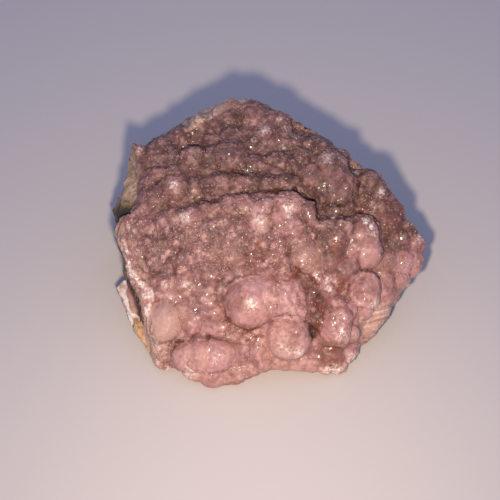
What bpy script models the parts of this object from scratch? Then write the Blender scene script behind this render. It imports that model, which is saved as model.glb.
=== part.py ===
"""A cobaltoan calcite hand specimen: a crust of pink botryoidal calcite on a piece of host rock.

The rock lies on a flat patch of its underside. The crust covers its top and its front, and ends in
broken edges on the left, at the back and low on the right. A seam of white calcite crosses the
left side. Units are metres, +Z is up, and -Y is the front, where the crust comes down to the ground.
"""

import math

import bmesh
import bpy
from mathutils import Matrix, Vector, noise
from mathutils.bvhtree import BVHTree

MM = 0.001
GAP = 0.3  # mm, between two minerals where they meet

# The crust
CRUST_THICKNESS = 4.5  # mm, before the lobes stand out of it
GRAIN = 0.5  # mm, the finest feature kept where the lobes run together
CRUST_KEPT = 0.049  # share of the crust's small triangles kept, most of them where it curves most

# The crust faces up and to the front. Its lobes are placed on this tilted display face:
# "across" is +X, "up" climbs the face to the back, and "out" leaves it.
DISPLAY_TILT = math.radians(50)  # between the ground and "out"
UP = Vector((0, math.sin(DISPLAY_TILT), math.cos(DISPLAY_TILT)))
OUT = Vector((0, -math.cos(DISPLAY_TILT), math.sin(DISPLAY_TILT)))

# Corners of the host rock before its sides are broken, in mm. The crust grows on these.
ROCK_CORNERS = [
    # the patch that it lies on
    (-18, -12, 0), (-5, -15, 0), (10, -13, 0), (15, -2, 0), (7, 11, 0), (-6, 17, 0), (-18, 9, 0),
    # the lowest edge of its sides
    (-26.5, -14, 2.5), (-12, -20.5, 2), (12, -17.5, 2), (20, -9.5, 2.5), (28, 2, 5),
    (24, 14, 4), (4, 34, 4), (-10, 38, 3), (-38, 14, 3),
    # the front, under the crust
    (-35, -6, 6), (-24, -13, 7), (-12, -15, 8), (0, -16, 8), (13, -13, 8), (23.5, -5, 8),
    (-38.5, 1.5, 14), (-27, -3, 14), (-12, -8, 16), (0, -9, 16), (13, -7, 15), (23.5, 0, 13),
    (-38, 7, 19.8), (-12, -1, 21), (0, -2, 21.5), (13, 0, 20), (23, 5, 18), (30.5, 4.5, 12),
    # the top
    (-38, 14, 20), (-35, 22, 23.5), (-16, 10, 23.5), (0, 6, 24), (14, 9, 22.5), (-14, 38, 24.5),
    (-6, 37, 24.5), (0, 32, 24.5), (7, 24.5, 24.5), (14, 18.5, 24), (22, 12.5, 21), (30, 8.5, 15),
]
# Corners where the rock reaches the surface at the left, under a crust that is thin or gone, in mm
BARE_CORNERS = [
    (-28.5, 8.5, 24.2), (-29.5, 14, 25.6), (-31, 19, 25.4), (-36, 8, 16), (-35, 17, 19),
    (-28.6, -14.6, 4.4), (-27, -16.6, 2), (-31, -10, 6), (-32.5, -5, 11),
]
ROCK_GRAIN = 6  # mm, the length of the rock's rough facets
ROCK_RELIEF = 1.3  # mm, how far they stand out or sink

# Lobes of the crust in mm: across, up, radius, and how proud the pole stands of the plain crust
FRONT_LOBES = [
    # two grown together, and the round one under them
    (-4.5, -0.5, 5.7, 4.0), (3, 0.4, 5.2, 3.4), (0, 1.8, 4.4, 3.0), (4.6, -2, 3.4, 3.2),
    (4.4, -8.3, 4.6, 4.4),
    # the long one at the bottom left and what joins it to its neighbour
    (-18, -12.5, 3.4, 2.8), (-15, -12.3, 3.7, 3.2), (-11.5, -12, 3.8, 3.2), (-9.7, -11.6, 3, 2.4),
    (-6, -11.2, 3.2, 1.4), (-2.4, -11.6, 3.2, 1.6), (-17.8, -15.8, 1.5, 2.2),
    # the smooth one at the left and small ones around it
    (-23.6, -5.6, 3.9, 3.0), (-22.6, -3.6, 2.8, 2.8), (-17, -4.8, 3.2, 1.6), (-27, 0.6, 2.1, 2.0),
    (-26.4, -2.6, 2, 1.8), (-29.7, 4.2, 2.0, 1.6), (-21.5, 0, 2.4, 1.2), (-24.3, 1.2, 2.2, 1.0),
    (-20.5, -9.6, 2.2, 0.2), (-22.9, -12.2, 1.9, 0.9), (-22.8, -14.6, 1.7, 1.0),
    (-25.2, -13.4, 1.4, 0.9), (-24.6, -9.8, 1.4, 0.6), (-25.3, -11.4, 1.2, 0.5),
    (-12.8, -2.4, 3.8, 1.3), (-11.6, -6.4, 3.6, 1.1), (-14.4, -8.2, 2.8, 0.7), (-8.4, -8, 2.4, 0.3),
    (-5.4, -9.2, 2.0, 0.6), (-2.4, -8.9, 2.0, 0.8), (-16.5, -0.8, 3, 1.0), (-19.4, -2.2, 2.2, 1.2),
    # the ledge along the foot
    (-16.2, -15.8, 2.2, 1.4), (-12.3, -16.6, 3.3, 1.3), (-7.5, -15.8, 2.9, 1.2), (-3.8, -14.4, 2.4, 1.0),
    (0.8, -13.2, 2.2, 1.0), (5.2, -14, 1.9, 1.0), (9, -13.6, 2.4, 1.0),
    # the foot at the right, and the column above it
    (13.2, -12.2, 3.8, 1.5), (16.7, -11.4, 2.8, 2.2), (12, -15.2, 1.6, 1.4), (15, -14.7, 2.1, 1.8),
    (18, -12.6, 1.5, 2.2), (14.8, -6.9, 3.6, 3.2), (14.2, -4, 3.2, 2.6), (13.8, -1.2, 2.8, 1.8),
    (11.4, -5.4, 2.2, 1.2), (17.8, -7.5, 2.0, 1.6), (10, -9.6, 2, 0.8), (17.2, -2.2, 2.2, 1.6),
    # the knob at the right, and those beside and above it
    (20.6, 2.5, 3.3, 3.4), (19.9, -0.2, 2.9, 2.6), (19.8, -2.8, 2.2, 1.8), (16.5, 6.5, 3.1, 2.2),
    (20.7, 11.2, 3.9, 3.6), (20.2, 14.8, 3.7, 3.8), (13.4, 12.8, 5, 3.0), (17.4, 12.6, 4.4, 3.2),
    (11.4, 15.6, 2.6, 2.6), (15.6, 15.2, 3, 3.2), (8.4, 9, 4, 1.7), (13, 8.7, 3.2, 1.9), (10.3, 4.6, 1.3, 0.7),
    (12.8, 2.6, 1.4, 0.9), (24.7, 1.6, 3.2, 1.2), (24, -2.5, 2.8, 1.0), (22.3, -5.6, 2.8, 1.2),
    (17.6, 9.6, 3, 2.4), (9.3, -1.8, 1.8, 0.4), (9.4, 1.8, 1.8, 0.4), (15.2, 2.4, 2, 0.4),
]
MIDDLE_LOBES = [
    # the pair that ends in a step at the middle of the crest
    (4.3, 20, 3.7, 4.4), (3.6, 16.4, 3.6, 3.0), (8.4, 19.2, 2.2, 3.4), (8.8, 17, 1.8, 2.6),
    (-2.3, 17.1, 2.4, 2.8), (-3.4, 19.4, 1.8, 3.0), (-0.8, 20.2, 2.2, 3.2), (1.5, 12.6, 3.8, 1.4),
    (5.6, 12.6, 3.4, 1.6), (-1.6, 13.6, 3.2, 1.8),
    # broad low ones over the middle
    (-24, 11, 8.5, 1.6), (-15, 10.5, 8.5, 2.0), (-7, 12, 8, 2.2), (-27, 4.5, 6, 0.6), (-16, 3, 7, 0.9),
    (0, 9, 6, 1.0), (-7, 5, 6, 0.9), (-7.4, 9.3, 3.6, 1.5), (-12.5, 10.3, 3.4, 2.0), (-6.4, 5, 2.6, 1.0),
    (-13, 5.5, 3.4, 1.3), (-19, 8.5, 3.6, 1.7), (-25, 7.5, 3.2, 1.2), (-18.5, 3.3, 2.2, 1.3),
    (-23, 3, 2.2, 1.0), (-14.5, 0.8, 3, 0.9), (-25, 12, 3.4, 1.7), (3, 7.6, 2.6, 0.7), (-2.6, 7.2, 2.6, 1.0),
    (-30, 10.2, 2.6, 1.6), (-31, 13.2, 2.4, 1.6), (-30.8, 6.8, 2.2, 1.6), (-19.6, 13.3, 3.6, 2.2),
    (-12.8, 14.8, 3.4, 2.6), (-7, 15.2, 3.4, 2.7), (-22.8, 16.2, 3, 2.1), (-27.6, 15.4, 3, 1.9),
    (-31, 16.4, 2.2, 1.4), (-17.4, 14.6, 2.6, 2.5), (-10, 17.3, 2.6, 3.0),
    # the crest, where the front of the crust steps down to the back
    (-17.6, 17.4, 2.7, 3.0), (-8.8, 20, 2.9, 3.6), (-12.2, 19.2, 2.4, 3.0), (-5.7, 20.6, 2.2, 3.2),
    (-14, 19.3, 2, 2.8), (-20.6, 18, 2, 2.2),
]
BACK_LOBES = [
    # the first row behind the crest
    (-25, 21, 4.8, 1.4), (-20.8, 23.6, 3.9, 2.2), (-29, 18.6, 2.4, 0.8), (-16.2, 23.6, 3.6, 1.2),
    (-11.4, 25, 3, 1.6), (-7, 24.6, 2.6, 1.2), (-3.8, 25.7, 1.9, 1.5), (-0.6, 24.8, 2.8, 1.6),
    (2.9, 25, 2.3, 1.4), (5.4, 25, 2.2, 1.2), (9.2, 25, 3.4, 1.8), (-26.3, 25.2, 2.2, 1.0),
    (-24.4, 27.2, 2.2, 1.2), (-21.2, 27.6, 2, 1.3), (14, 25.2, 5.3, 2.9), (13.6, 19.4, 1.9, 0.9),
    (16.6, 20, 2.2, 1.0), (10.6, 21.6, 2.4, 0.9), (7, 22.8, 2, 0.6), (-12, 21.6, 5, 0.6),
    # the second row
    (-17, 30.6, 3.3, 2.2), (-9, 30.4, 5.2, 2.4), (-12.8, 31, 3, 2.0), (-1.6, 29.4, 2, 1.3),
    (1.4, 29.6, 2.8, 1.3), (4.6, 29.3, 2, 1.4), (-21.6, 31, 3, 0.8), (-26, 30.6, 3.4, 0.7),
    (-28.8, 28.6, 2.2, 0.8), (8.2, 28.6, 2.8, 1.0), (12.4, 30.6, 3.3, 1.7), (7.6, 31.4, 2.6, 0.9),
    (-4, 29, 3, 1.2), (-14.5, 28, 2.6, 0.9),
    # the rows up to the back edge
    (-19.6, 35, 3.4, 0.9), (-24, 33.2, 2.6, 0.8), (-15, 36.6, 4, 1.0), (-9.4, 38, 4.6, 1.4),
    (-3.4, 39, 5.2, 1.7), (-8, 41, 3.2, 1.1), (-4, 41.4, 3.4, 1.2), (1.2, 38.2, 4, 1.4),
    (2, 34, 4.4, 1.2), (5.4, 34, 3.6, 1.1), (-8, 35.2, 4, 1.0), (9.2, 33.4, 3.4, 1.1),
    (12, 32, 3.4, 1.2), (15.2, 30.4, 3, 1.3), (-29.4, 32.8, 1.7, 1.2), (-3, 34, 4.4, 1.0),
    (-0.4, 36.6, 2.4, 1.8), (3.6, 37.6, 2.2, 1.7), (-13, 34.4, 2.6, 1.2),
    # the slope at the right
    (22, 25, 3.8, 1.4), (24.4, 22.8, 3, 1.4), (23.6, 20.4, 3.6, 1.1), (20.3, 22.2, 3, 1.0),
    (27.5, 19.4, 3.8, 1.2), (25.8, 16.4, 3.8, 1.0), (30, 16, 3.8, 1.1), (27.6, 12.6, 4.2, 0.9),
    (32, 12.6, 2.8, 1.2), (31, 9, 3.2, 1.0), (28.4, 8.4, 3.8, 0.9), (25.2, 8.6, 3, 0.9),
    (28.2, 4.6, 3, 0.9), (24.8, 5, 2.4, 0.8), (18.8, 27.8, 1.8, 0.8), (25.6, 25.2, 2.2, 1.0),
    (31.8, 6.6, 2, 0.8), (23.8, 12.6, 2.4, 1.0),
]

# Broken faces in mm: a point on the face, the way it looks, its size along each side, its roughness
BREAKS = {
    "left": ((-33, 1, 13), (-0.98, -0.19, -0.05), (60, 44), 0.7),
    "left_upper": ((-33.6, 18, 18), (-0.965, 0.055, 0.255), (60, 50), 0.6),
    "back_left": ((-18.5, 27.4, 14), (-0.5, 0.85, -0.16), (74, 60), 1.0),
    "back_left_rim": ((-13, 28.4, 29.2), (-0.32, 0.42, 0.85), (34, 14), 0.4),
    "back_right": ((13.4, 17.8, 12), (0.6, 0.76, -0.25), (80, 60), 1.0),
    "back_tip": ((-6, 33.8, 29), (0.04, 0.97, -0.2), (30, 70), 0.5),
    "right_foot": ((28, -7.6, 5), (0.75, -0.52, -0.4), (30, 24), 0.5),
}
# The same for faces where only the crust has flaked off
FLAKES = {
    "underside": ((0, -14, 1.2), (0, 0.42, -0.91), (90, 120), 0.4),
    "foot": ((0, -8, 1.1), (0, 0, -1), (90, 60), 0.4),
    "flank": ((-30.9, 14, 24), (-0.86, -0.2, 0.47), (20, 13), 0.4),
    "left_foot": ((-27, -15.5, 4), (-0.9, -0.42, 0.1), (12, 12), 0.3),
}
BREAK_GRID = 3.2  # mm, between the points of a broken face
BLOCK_DEPTH = 40  # mm, of the block that is taken away outside a broken face

HOLLOW = [(-2.6, -25.8, 0), (6.6, -25, 0)]  # mm, the ends of the hollow under the front of the foot
HOLLOW_RADIUS = 4.4  # mm

# Corners of the white calcite in mm: across, up, out
SPAR_CORNERS = [
    (-34, 2.5, 11), (-33.2, 3.6, 10.5), (-31.4, 4.2, 13.2), (-30.8, 2, 13.2), (-30.1, 0, 13),
    (-29.1, -3, 12.6), (-28.7, -5, 12), (-30.8, -6, 10), (-31.4, -3, 11.2), (-33, 0.6, 11.2),
    (-33.4, 2.6, 8), (-30.5, 3, 9), (-28.4, -4, 8.5), (-30.4, -5.6, 7.5),
]
CRACK = 1.1  # mm, between the white calcite and the crust


def finish_material(name, colour, roughness):
    """A plain Principled finish in linear RGB."""
    material = bpy.data.materials.new(name)
    material.use_nodes = True
    shader = material.node_tree.nodes["Principled BSDF"]
    shader.inputs["Base Color"].default_value = (*colour, 1)
    shader.inputs["Roughness"].default_value = roughness
    return material


def add_object(name, bm, material=None):
    """Puts a bmesh in the scene as a named object."""
    mesh = bpy.data.meshes.new(name)
    bm.to_mesh(mesh)
    bm.free()
    item = bpy.data.objects.new(name, mesh)
    bpy.context.scene.collection.objects.link(item)
    if material:
        mesh.materials.append(material)
    return item


def add_cutter(name, bm):
    """A closed shape that only cuts others."""
    cutter = add_object(name, bm)
    cutter.hide_render = True
    cutter.display_type = "WIRE"
    return cutter


def cut(item, cutter):
    """Takes the cutter's volume away from the item."""
    step = item.modifiers.new("cut_" + cutter.name, "BOOLEAN")
    step.operation = "DIFFERENCE"
    step.solver = "EXACT"
    step.object = cutter


def display_point(across, up, out):
    """A point given on the display face, in metres."""
    return (Vector((across, 0, 0)) + up * UP + out * OUT) * MM


def rounded_hull(points, radius):
    """The convex hull of balls of one radius set at the points, or of the points alone."""
    balls = bmesh.new()
    for point in points:
        place = Matrix.Translation(point)
        if radius:
            bmesh.ops.create_icosphere(balls, subdivisions=2, radius=radius * MM, matrix=place)
        else:
            balls.verts.new(point)
    bm = bmesh.new()
    for vertex in balls.verts:
        bm.verts.new(vertex.co)
    balls.free()
    hull = bmesh.ops.convex_hull(bm, input=bm.verts)
    inside = {item for key in ("geom_interior", "geom_unused") for item in hull[key]}
    bmesh.ops.delete(bm, geom=list(inside), context="VERTS")
    bmesh.ops.recalc_face_normals(bm, faces=bm.faces)
    return bm


def push_out(bm, distance_at):
    """Moves every corner along its normal by the distance, in mm, that applies there."""
    bm.normal_update()
    moves = [vertex.normal * distance_at(vertex.co / MM) * MM for vertex in bm.verts]
    for vertex, move in zip(bm.verts, moves):
        vertex.co += move


def rock_relief(at):
    """How far the rock's rough surface stands out. The patch that it lies on stays flat."""
    return 0 if at.z < 0.01 else ROCK_RELIEF * noise.fractal(at * 0.13, 0.9, 2.1, 3)


def rough_rock(clearance):
    """The rock before it is broken, or the room that it takes with a clearance around it."""
    bm = rounded_hull([Vector(corner) * MM for corner in ROCK_CORNERS + BARE_CORNERS], 0)
    for _ in range(6):
        # what the crust hides stays plain
        long_edges = [
            edge for edge in bm.edges
            if edge.calc_length() > ROCK_GRAIN * MM
            and min(face.normal.dot(OUT) for face in edge.link_faces) < 0.4
        ]
        if not long_edges:
            break
        bmesh.ops.subdivide_edges(bm, edges=long_edges, cuts=1)
        bmesh.ops.triangulate(bm, faces=bm.faces)
    push_out(bm, rock_relief)
    if clearance:
        push_out(bm, lambda at: clearance)
    return bm


def broken_block(point, facing, size, roughness):
    """A block whose inner side is a rough broken face through the point. The block lies outside it."""
    bm = bmesh.new()
    steps = [max(2, round(length / BREAK_GRID)) for length in size]
    bmesh.ops.create_grid(bm, x_segments=steps[0], y_segments=steps[1], size=0.5)
    bmesh.ops.scale(bm, vec=(size[0] * MM, size[1] * MM, 1), verts=bm.verts)
    turn = Vector(facing).to_track_quat("Z", "Y").to_matrix().to_4x4()
    bm.transform(Matrix.Translation(Vector(point) * MM) @ turn)
    outward = Vector(facing).normalized()
    face = list(bm.verts)
    made = bmesh.ops.extrude_face_region(bm, geom=bm.faces[:])["geom"]
    outer = [item for item in made if isinstance(item, bmesh.types.BMVert)]
    bmesh.ops.translate(bm, vec=outward * BLOCK_DEPTH * MM, verts=outer)
    for vertex in face:
        at = vertex.co / MM
        rough = noise.fractal(at * 0.11, 0.9, 2.1, 3) + 0.35 * noise.noise(at * 0.45)
        vertex.co += outward * rough * 2 * roughness * MM
    bmesh.ops.recalc_face_normals(bm, faces=bm.faces)
    return bm


def lobed_crust():
    """The plain crust with a ball for every lobe, still as closed shapes that overlap."""
    bm = rounded_hull([Vector(corner) * MM for corner in ROCK_CORNERS], CRUST_THICKNESS)
    plain = BVHTree.FromBMesh(bm)
    for across, up, radius, proud in FRONT_LOBES + MIDDLE_LOBES + BACK_LOBES:
        under_pole = plain.ray_cast(display_point(across, up, 60), -OUT)[0]
        place = Matrix.Translation(under_pole + (proud - radius) * MM * OUT)
        bmesh.ops.create_icosphere(bm, subdivisions=3, radius=radius * MM, matrix=place)
    return bm


def main():
    for item in list(bpy.data.objects):
        bpy.data.objects.remove(item)

    pink = finish_material("cobaltoan_calcite", (0.50, 0.22, 0.20), 0.4)
    tan = finish_material("host_rock", (0.24, 0.17, 0.10), 0.9)
    white = finish_material("white_calcite", (0.68, 0.56, 0.48), 0.35)

    breaks = [add_cutter(name, broken_block(*values)) for name, values in BREAKS.items()]
    flakes = [add_cutter(name, broken_block(*values)) for name, values in FLAKES.items()]
    corners = [display_point(*corner) for corner in SPAR_CORNERS]
    spar_room = add_cutter("spar_room", rounded_hull(corners, GAP))
    crack = add_cutter("crack", rounded_hull(corners, CRACK))
    rock_room = add_cutter("rock_room", rough_rock(GAP))
    hollow = add_cutter("hollow", rounded_hull([Vector(end) * MM for end in HOLLOW], HOLLOW_RADIUS))

    rock = add_object("matrix_rock", rough_rock(0), tan)
    for cutter in [*breaks, hollow, spar_room]:
        cut(rock, cutter)

    crust = add_object("calcite_crust", lobed_crust(), pink)
    joined = crust.modifiers.new("grown_together", "REMESH")
    joined.mode = "VOXEL"
    joined.voxel_size = GRAIN * MM
    softer = crust.modifiers.new("softer_valleys", "SMOOTH")
    softer.iterations = 3
    fewer = crust.modifiers.new("fewer_faces", "DECIMATE")
    fewer.ratio = CRUST_KEPT
    for cutter in [rock_room, *breaks, *flakes, hollow, crack]:
        cut(crust, cutter)

    add_object("white_calcite", rounded_hull(corners, 0), white)


main()
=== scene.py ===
import math

import bmesh
import bpy
import numpy as np
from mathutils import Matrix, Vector, noise
from mathutils.bvhtree import BVHTree


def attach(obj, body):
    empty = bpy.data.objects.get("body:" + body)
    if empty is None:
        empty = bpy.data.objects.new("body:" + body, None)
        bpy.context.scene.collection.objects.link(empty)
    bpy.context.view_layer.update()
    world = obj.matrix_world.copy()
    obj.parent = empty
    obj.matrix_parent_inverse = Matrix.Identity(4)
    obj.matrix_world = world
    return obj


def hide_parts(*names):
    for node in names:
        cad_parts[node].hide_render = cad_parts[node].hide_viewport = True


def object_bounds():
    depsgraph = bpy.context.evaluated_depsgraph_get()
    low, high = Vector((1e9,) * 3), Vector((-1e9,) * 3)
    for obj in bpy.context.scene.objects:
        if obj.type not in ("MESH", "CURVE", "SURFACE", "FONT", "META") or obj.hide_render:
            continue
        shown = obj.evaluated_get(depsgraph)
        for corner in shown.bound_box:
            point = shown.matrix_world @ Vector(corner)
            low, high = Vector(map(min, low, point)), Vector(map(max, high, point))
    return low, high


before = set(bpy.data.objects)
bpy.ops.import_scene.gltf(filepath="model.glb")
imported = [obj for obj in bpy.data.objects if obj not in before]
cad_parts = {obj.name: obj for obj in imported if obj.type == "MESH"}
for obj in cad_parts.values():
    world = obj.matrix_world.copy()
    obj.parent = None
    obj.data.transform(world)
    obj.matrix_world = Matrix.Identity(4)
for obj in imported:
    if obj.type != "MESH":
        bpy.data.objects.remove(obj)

cad_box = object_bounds()

# ---------------------------------------------------------------------------------------------
# Host rock. A broken lump of altered carbonate rock that the crust grew on. Its sides are fresh
# breaks, rough and granular, stained from tan through olive to nearly black, with ochre low down.
# ---------------------------------------------------------------------------------------------

MM = 0.001  # in metres

# The crust faces up and to the front. Places on this tilted display face have an "across", along +X,
# and an "up", which climbs the face to the back. "Out" leaves it.
DISPLAY_TILT = math.radians(50)  # between the ground and "out"
ACROSS = np.array((1, 0, 0))
UP = np.array((0, math.sin(DISPLAY_TILT), math.cos(DISPLAY_TILT)))
OUT = np.array((0, -math.cos(DISPLAY_TILT), math.sin(DISPLAY_TILT)))

ROCK_GRAIN = 0.75  # mm, between the points of its broken faces
ROCK_LUMPS = [(5.0, 0.5), (2.2, 0.4), (0.9, 0.25)]  # mm, width and height of its roughness
LEDGE_WIDTH, LEDGE_HEIGHT = 3.2, 0.21  # mm, of its small flat breaks
EARTHY_BULGE = (-29, -8.5, 4.5, 1.3)  # low on the left: across, up, radius and height in mm
ROCK_FADE = (0.35, 1.5)  # mm from the crust, where its roughness starts, and over how far it grows
# Its stains: across, up, height and how many times wider they are, and how far past full the middle is
ROCK_STAINS = [
    (-32, 25, 5.5, 1, 1.3),  # tan, near the upper left
    (-32, 19, 2.4, 1.6, 1.4),  # nearly black, under the crust's edge there
    (-28, -9, 6, 1, 1.3),  # ochre, low down
]


def welded_copy(node, name):
    """A new object with the node's own mesh, its split corners joined."""
    bm = bmesh.new()
    bm.from_mesh(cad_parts[node].data)
    bmesh.ops.remove_doubles(bm, verts=bm.verts, dist=0.002 * MM)
    mesh = bpy.data.meshes.new(name)
    bm.to_mesh(mesh)
    bm.free()
    item = bpy.data.objects.new(name, mesh)
    bpy.context.scene.collection.objects.link(item)
    return item


def surface_of(item):
    """A search tree of an object's surface."""
    bm = bmesh.new()
    bm.from_mesh(item.data)
    tree = BVHTree.FromBMesh(bm)
    bm.free()
    return tree


def refine(item, longest, rounds, wanted=lambda edge: True):
    """Halves the object's wanted edges, round after round, while they are longer than this in mm."""
    bm = bmesh.new()
    bm.from_mesh(item.data)
    for _ in range(rounds):
        long_edges = [edge for edge in bm.edges if edge.calc_length() > longest * MM and wanted(edge)]
        if not long_edges:
            break
        bmesh.ops.subdivide_edges(bm, edges=long_edges, cuts=1)
        bmesh.ops.triangulate(bm, faces=[face for face in bm.faces if len(face.verts) > 3])
    bm.to_mesh(item.data)
    bm.free()


def corners_of(mesh):
    """The mesh's corners and their normals as two tables, in mm and as unit vectors."""
    places = np.empty(len(mesh.vertices) * 3)
    mesh.vertices.foreach_get("co", places)
    normals = np.empty(len(mesh.vertices) * 3)
    mesh.vertex_normals.foreach_get("vector", normals)
    return places.reshape(-1, 3) / MM, normals.reshape(-1, 3)


def edges_of(mesh):
    """The mesh's edges as a table of pairs of corners."""
    edges = np.empty(len(mesh.edges) * 2, dtype=int)
    mesh.edges.foreach_get("vertices", edges)
    return edges.reshape(-1, 2)


def move_corners(mesh, places):
    """Moves the mesh's corners to places in mm, held inside the specimen's measured size."""
    low, high = (np.array(corner) / MM for corner in cad_box)
    mesh.vertices.foreach_set("co", (np.clip(places, low, high) * MM).ravel())


def softened(places, edges, rounds, amount=0.6):
    """The corners after each has moved towards the middle of its neighbours that many times."""
    count = np.bincount(edges.ravel(), minlength=len(places))[:, None]
    soft = places.copy()
    for _ in range(rounds):
        total = np.stack([
            np.bincount(edges[:, 0], soft[edges[:, 1], axis], len(places))
            + np.bincount(edges[:, 1], soft[edges[:, 0], axis], len(places)) for axis in range(3)
        ], axis=1)
        soft += amount * (total / count - soft)
    return soft


def eased(places, edges, rounds, share):
    """The corners, each moved by its own share of the way to where softening takes it."""
    return places + share[:, None] * (softened(places, edges, rounds) - places)


def paint(mesh, name, values):
    """Stores up to four values for each corner of the mesh, for its finish to read."""
    table = np.zeros((len(mesh.vertices), 4))
    table[:, :values.shape[1]] = values
    layer = mesh.attributes.new(name, "FLOAT_COLOR", "POINT")
    layer.data.foreach_set("color", table.ravel())


def linear(hex_colour):
    """An sRGB hex colour as linear RGBA."""
    parts = [int(hex_colour[at:at + 2], 16) / 255 for at in (1, 3, 5)]
    return [c / 12.92 if c <= 0.04045 else ((c + 0.055) / 1.055) ** 2.4 for c in parts] + [1]


def add(tree, kind, settings=None, *inputs, **named_inputs):
    """Adds a node and gives its inputs, either in order, as far as they are in use, or by name.

    An input is a node, whose first output in use is linked, a socket, a hex colour or a plain value.
    Settings are the node's own fields, or its operation alone. "stops" are a colour ramp's.
    """
    node = tree.nodes.new("ShaderNode" + kind)
    if isinstance(settings, str):
        settings = {"operation": settings}
    for field, value in (settings or {}).items():
        if field != "stops":
            setattr(node, field, value)
            continue
        elements = node.color_ramp.elements
        while len(elements) < len(value):
            elements.new(0.5)
        for element, (place, colour) in zip(elements, value):
            element.position = place
            element.color = linear(colour)
    given = list(zip([socket for socket in node.inputs if socket.enabled], inputs))
    given += [(node.inputs[name.replace("_", " ")], value) for name, value in named_inputs.items()]
    for socket, value in given:
        if isinstance(value, bpy.types.Node):
            value = next(output for output in value.outputs if output.enabled)
        if isinstance(value, bpy.types.NodeSocket):
            tree.links.new(value, socket)
        else:
            socket.default_value = linear(value) if isinstance(value, str) else value
    return node


def painted(tree, name):
    """The four values that paint stored under that name."""
    values = add(tree, "Attribute", {"attribute_name": name})
    return *add(tree, "SeparateColor", None, values).outputs, values.outputs["Alpha"]


def new_finish(name):
    """A new material and its node tree, which is empty."""
    finish = bpy.data.materials.new(name)
    finish.use_nodes = True
    finish.node_tree.nodes.clear()
    return finish, finish.node_tree


def give_finish(item, finish):
    """Makes the finish the object's only material."""
    item.data.materials.clear()
    item.data.materials.append(finish)


rock = welded_copy("matrix_rock", "host_rock")
crust_surface = surface_of(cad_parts["calcite_crust"])


def open_to_view(edge):
    """Whether no crust lies over this edge of the rock. Where it does, the rock stays plain."""
    middle = (edge.verts[0].co + edge.verts[1].co) / 2
    way_out = sum((face.normal for face in edge.link_faces), Vector()).normalized()
    return crust_surface.ray_cast(middle, way_out, 1.2 * MM)[0] is None


refine(rock, 1.5 * ROCK_GRAIN, 7, open_to_view)
places, normals = corners_of(rock.data)
moved = np.zeros(len(places))
bulge_across, bulge_up, bulge_radius, bulge_height = EARTHY_BULGE
for at, point in enumerate(places):
    if point[2] < 0.05:
        continue  # the patch that it lies on stays flat
    spot = Vector(point)
    near_crust = crust_surface.find_nearest(spot * MM)[3] / MM
    rough = sum(height * noise.fractal(spot / width, 0.8, 2.0, 2) for width, height in ROCK_LUMPS)
    ledge = LEDGE_HEIGHT * (noise.cell(spot / LEDGE_WIDTH) - 0.5)
    from_bulge = math.hypot(point[0] - bulge_across, point @ UP - bulge_up) / bulge_radius
    swell = bulge_height * max(0, 1 - from_bulge)
    moved[at] = (rough + ledge - 0.2 + swell) * min(1, max(0, (near_crust - ROCK_FADE[0]) / ROCK_FADE[1]))
weathered = places + normals * moved[:, None]
worn = np.clip(np.abs(moved) * 4, 0, 0.8)
move_corners(rock.data, eased(weathered, edges_of(rock.data), 2, worn))
places, normals = corners_of(rock.data)
paint(rock.data, "stains", np.stack([
    np.clip(full - np.hypot((places[:, 0] - across) / wider, places @ UP - up) / high, 0, 1)
    for across, up, high, wider, full in ROCK_STAINS
], axis=1))

# Stained carbonate: dull and granular, from tan to olive with nearly black skins and ochre earth.
# Its grain, about 0.1 mm in the real rock, is drawn 0.6 mm wide so that it shows.
stained_rock, tree = new_finish("stained_carbonate_rock")
COLOURS = {"data_type": "RGBA"}  # how a Mix node is set to mix colours
where = add(tree, "NewGeometry").outputs["Position"]
patches = add(tree, "TexNoise", Vector=where, Scale=1 / (5.9 * MM), Detail=5.0, Roughness=0.62)
colour = add(tree, "ValToRGB", {"stops": [
    (0.30, "#3b352b"), (0.42, "#6b5a44"), (0.52, "#8a7355"), (0.62, "#a58a6c"), (0.74, "#b99a80"),
]}, patches)
height = add(tree, "SeparateXYZ", None, where).outputs["Z"]
low_down = add(tree, "MapRange", None, height, 2 * MM, 11 * MM, 0.6, 0.0)
tan, black, ochre, _ = painted(tree, "stains")
for weight, stain in ((low_down, "#a98462"), (tan, "#c9aa90"), (black, "#3a342c"), (ochre, "#d3ac88")):
    colour = add(tree, "Mix", COLOURS, weight, colour, stain)
specks = add(tree, "TexNoise", Vector=where, Scale=1 / (0.6 * MM), Detail=3.0)
chips = add(tree, "TexNoise", Vector=where, Scale=1 / (1.7 * MM), Detail=6.0, Roughness=0.7)
mottled = add(tree, "VectorMath", "SCALE", colour, add(tree, "Math", "MULTIPLY_ADD", chips, 2.6, -0.25))
speckled = add(tree, "Mix", {"data_type": "RGBA", "blend_type": "OVERLAY"}, 0.6, mottled, specks)
grains = add(tree, "Bump", Height=chips, Strength=1.0, Distance=1.2 * MM)
shader = add(tree, "BsdfPrincipled", Base_Color=speckled, Roughness=0.88, IOR=1.55, Normal=grains)
add(tree, "OutputMaterial", Surface=shader)
give_finish(rock, stained_rock)

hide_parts("matrix_rock")
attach(rock, "root")

# ---------------------------------------------------------------------------------------------
# Crust. Pink cobaltoan calcite, grown as lobes of fibres that radiate from the rock and end in a
# skin of tiny crystals. Each lobe has its own clearness. It is browner behind its crest, rusty in
# its clefts and cream at its broken edges. Shade is painted dark into its folds, clefts and steps,
# and light painted pale onto its raised tops, glassy rims and highlights.
# ---------------------------------------------------------------------------------------------

MESH_STEP = 0.30  # mm, between the points of its skin
AGAINST_ROCK = 0.55  # mm from the rock, where it still stays plain
CRUST_FADE = (0.6, 1.0)  # mm from the rock, where its forms start, and over how far they grow
BREAK_REACH = 2.6  # mm to each side of a broken edge's plane
# Rounds of softening: away with the solid part's facets, and over the lobes that have no sharp outline
FACETS_GONE, VALLEYS_FILLED = 8, 7
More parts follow.
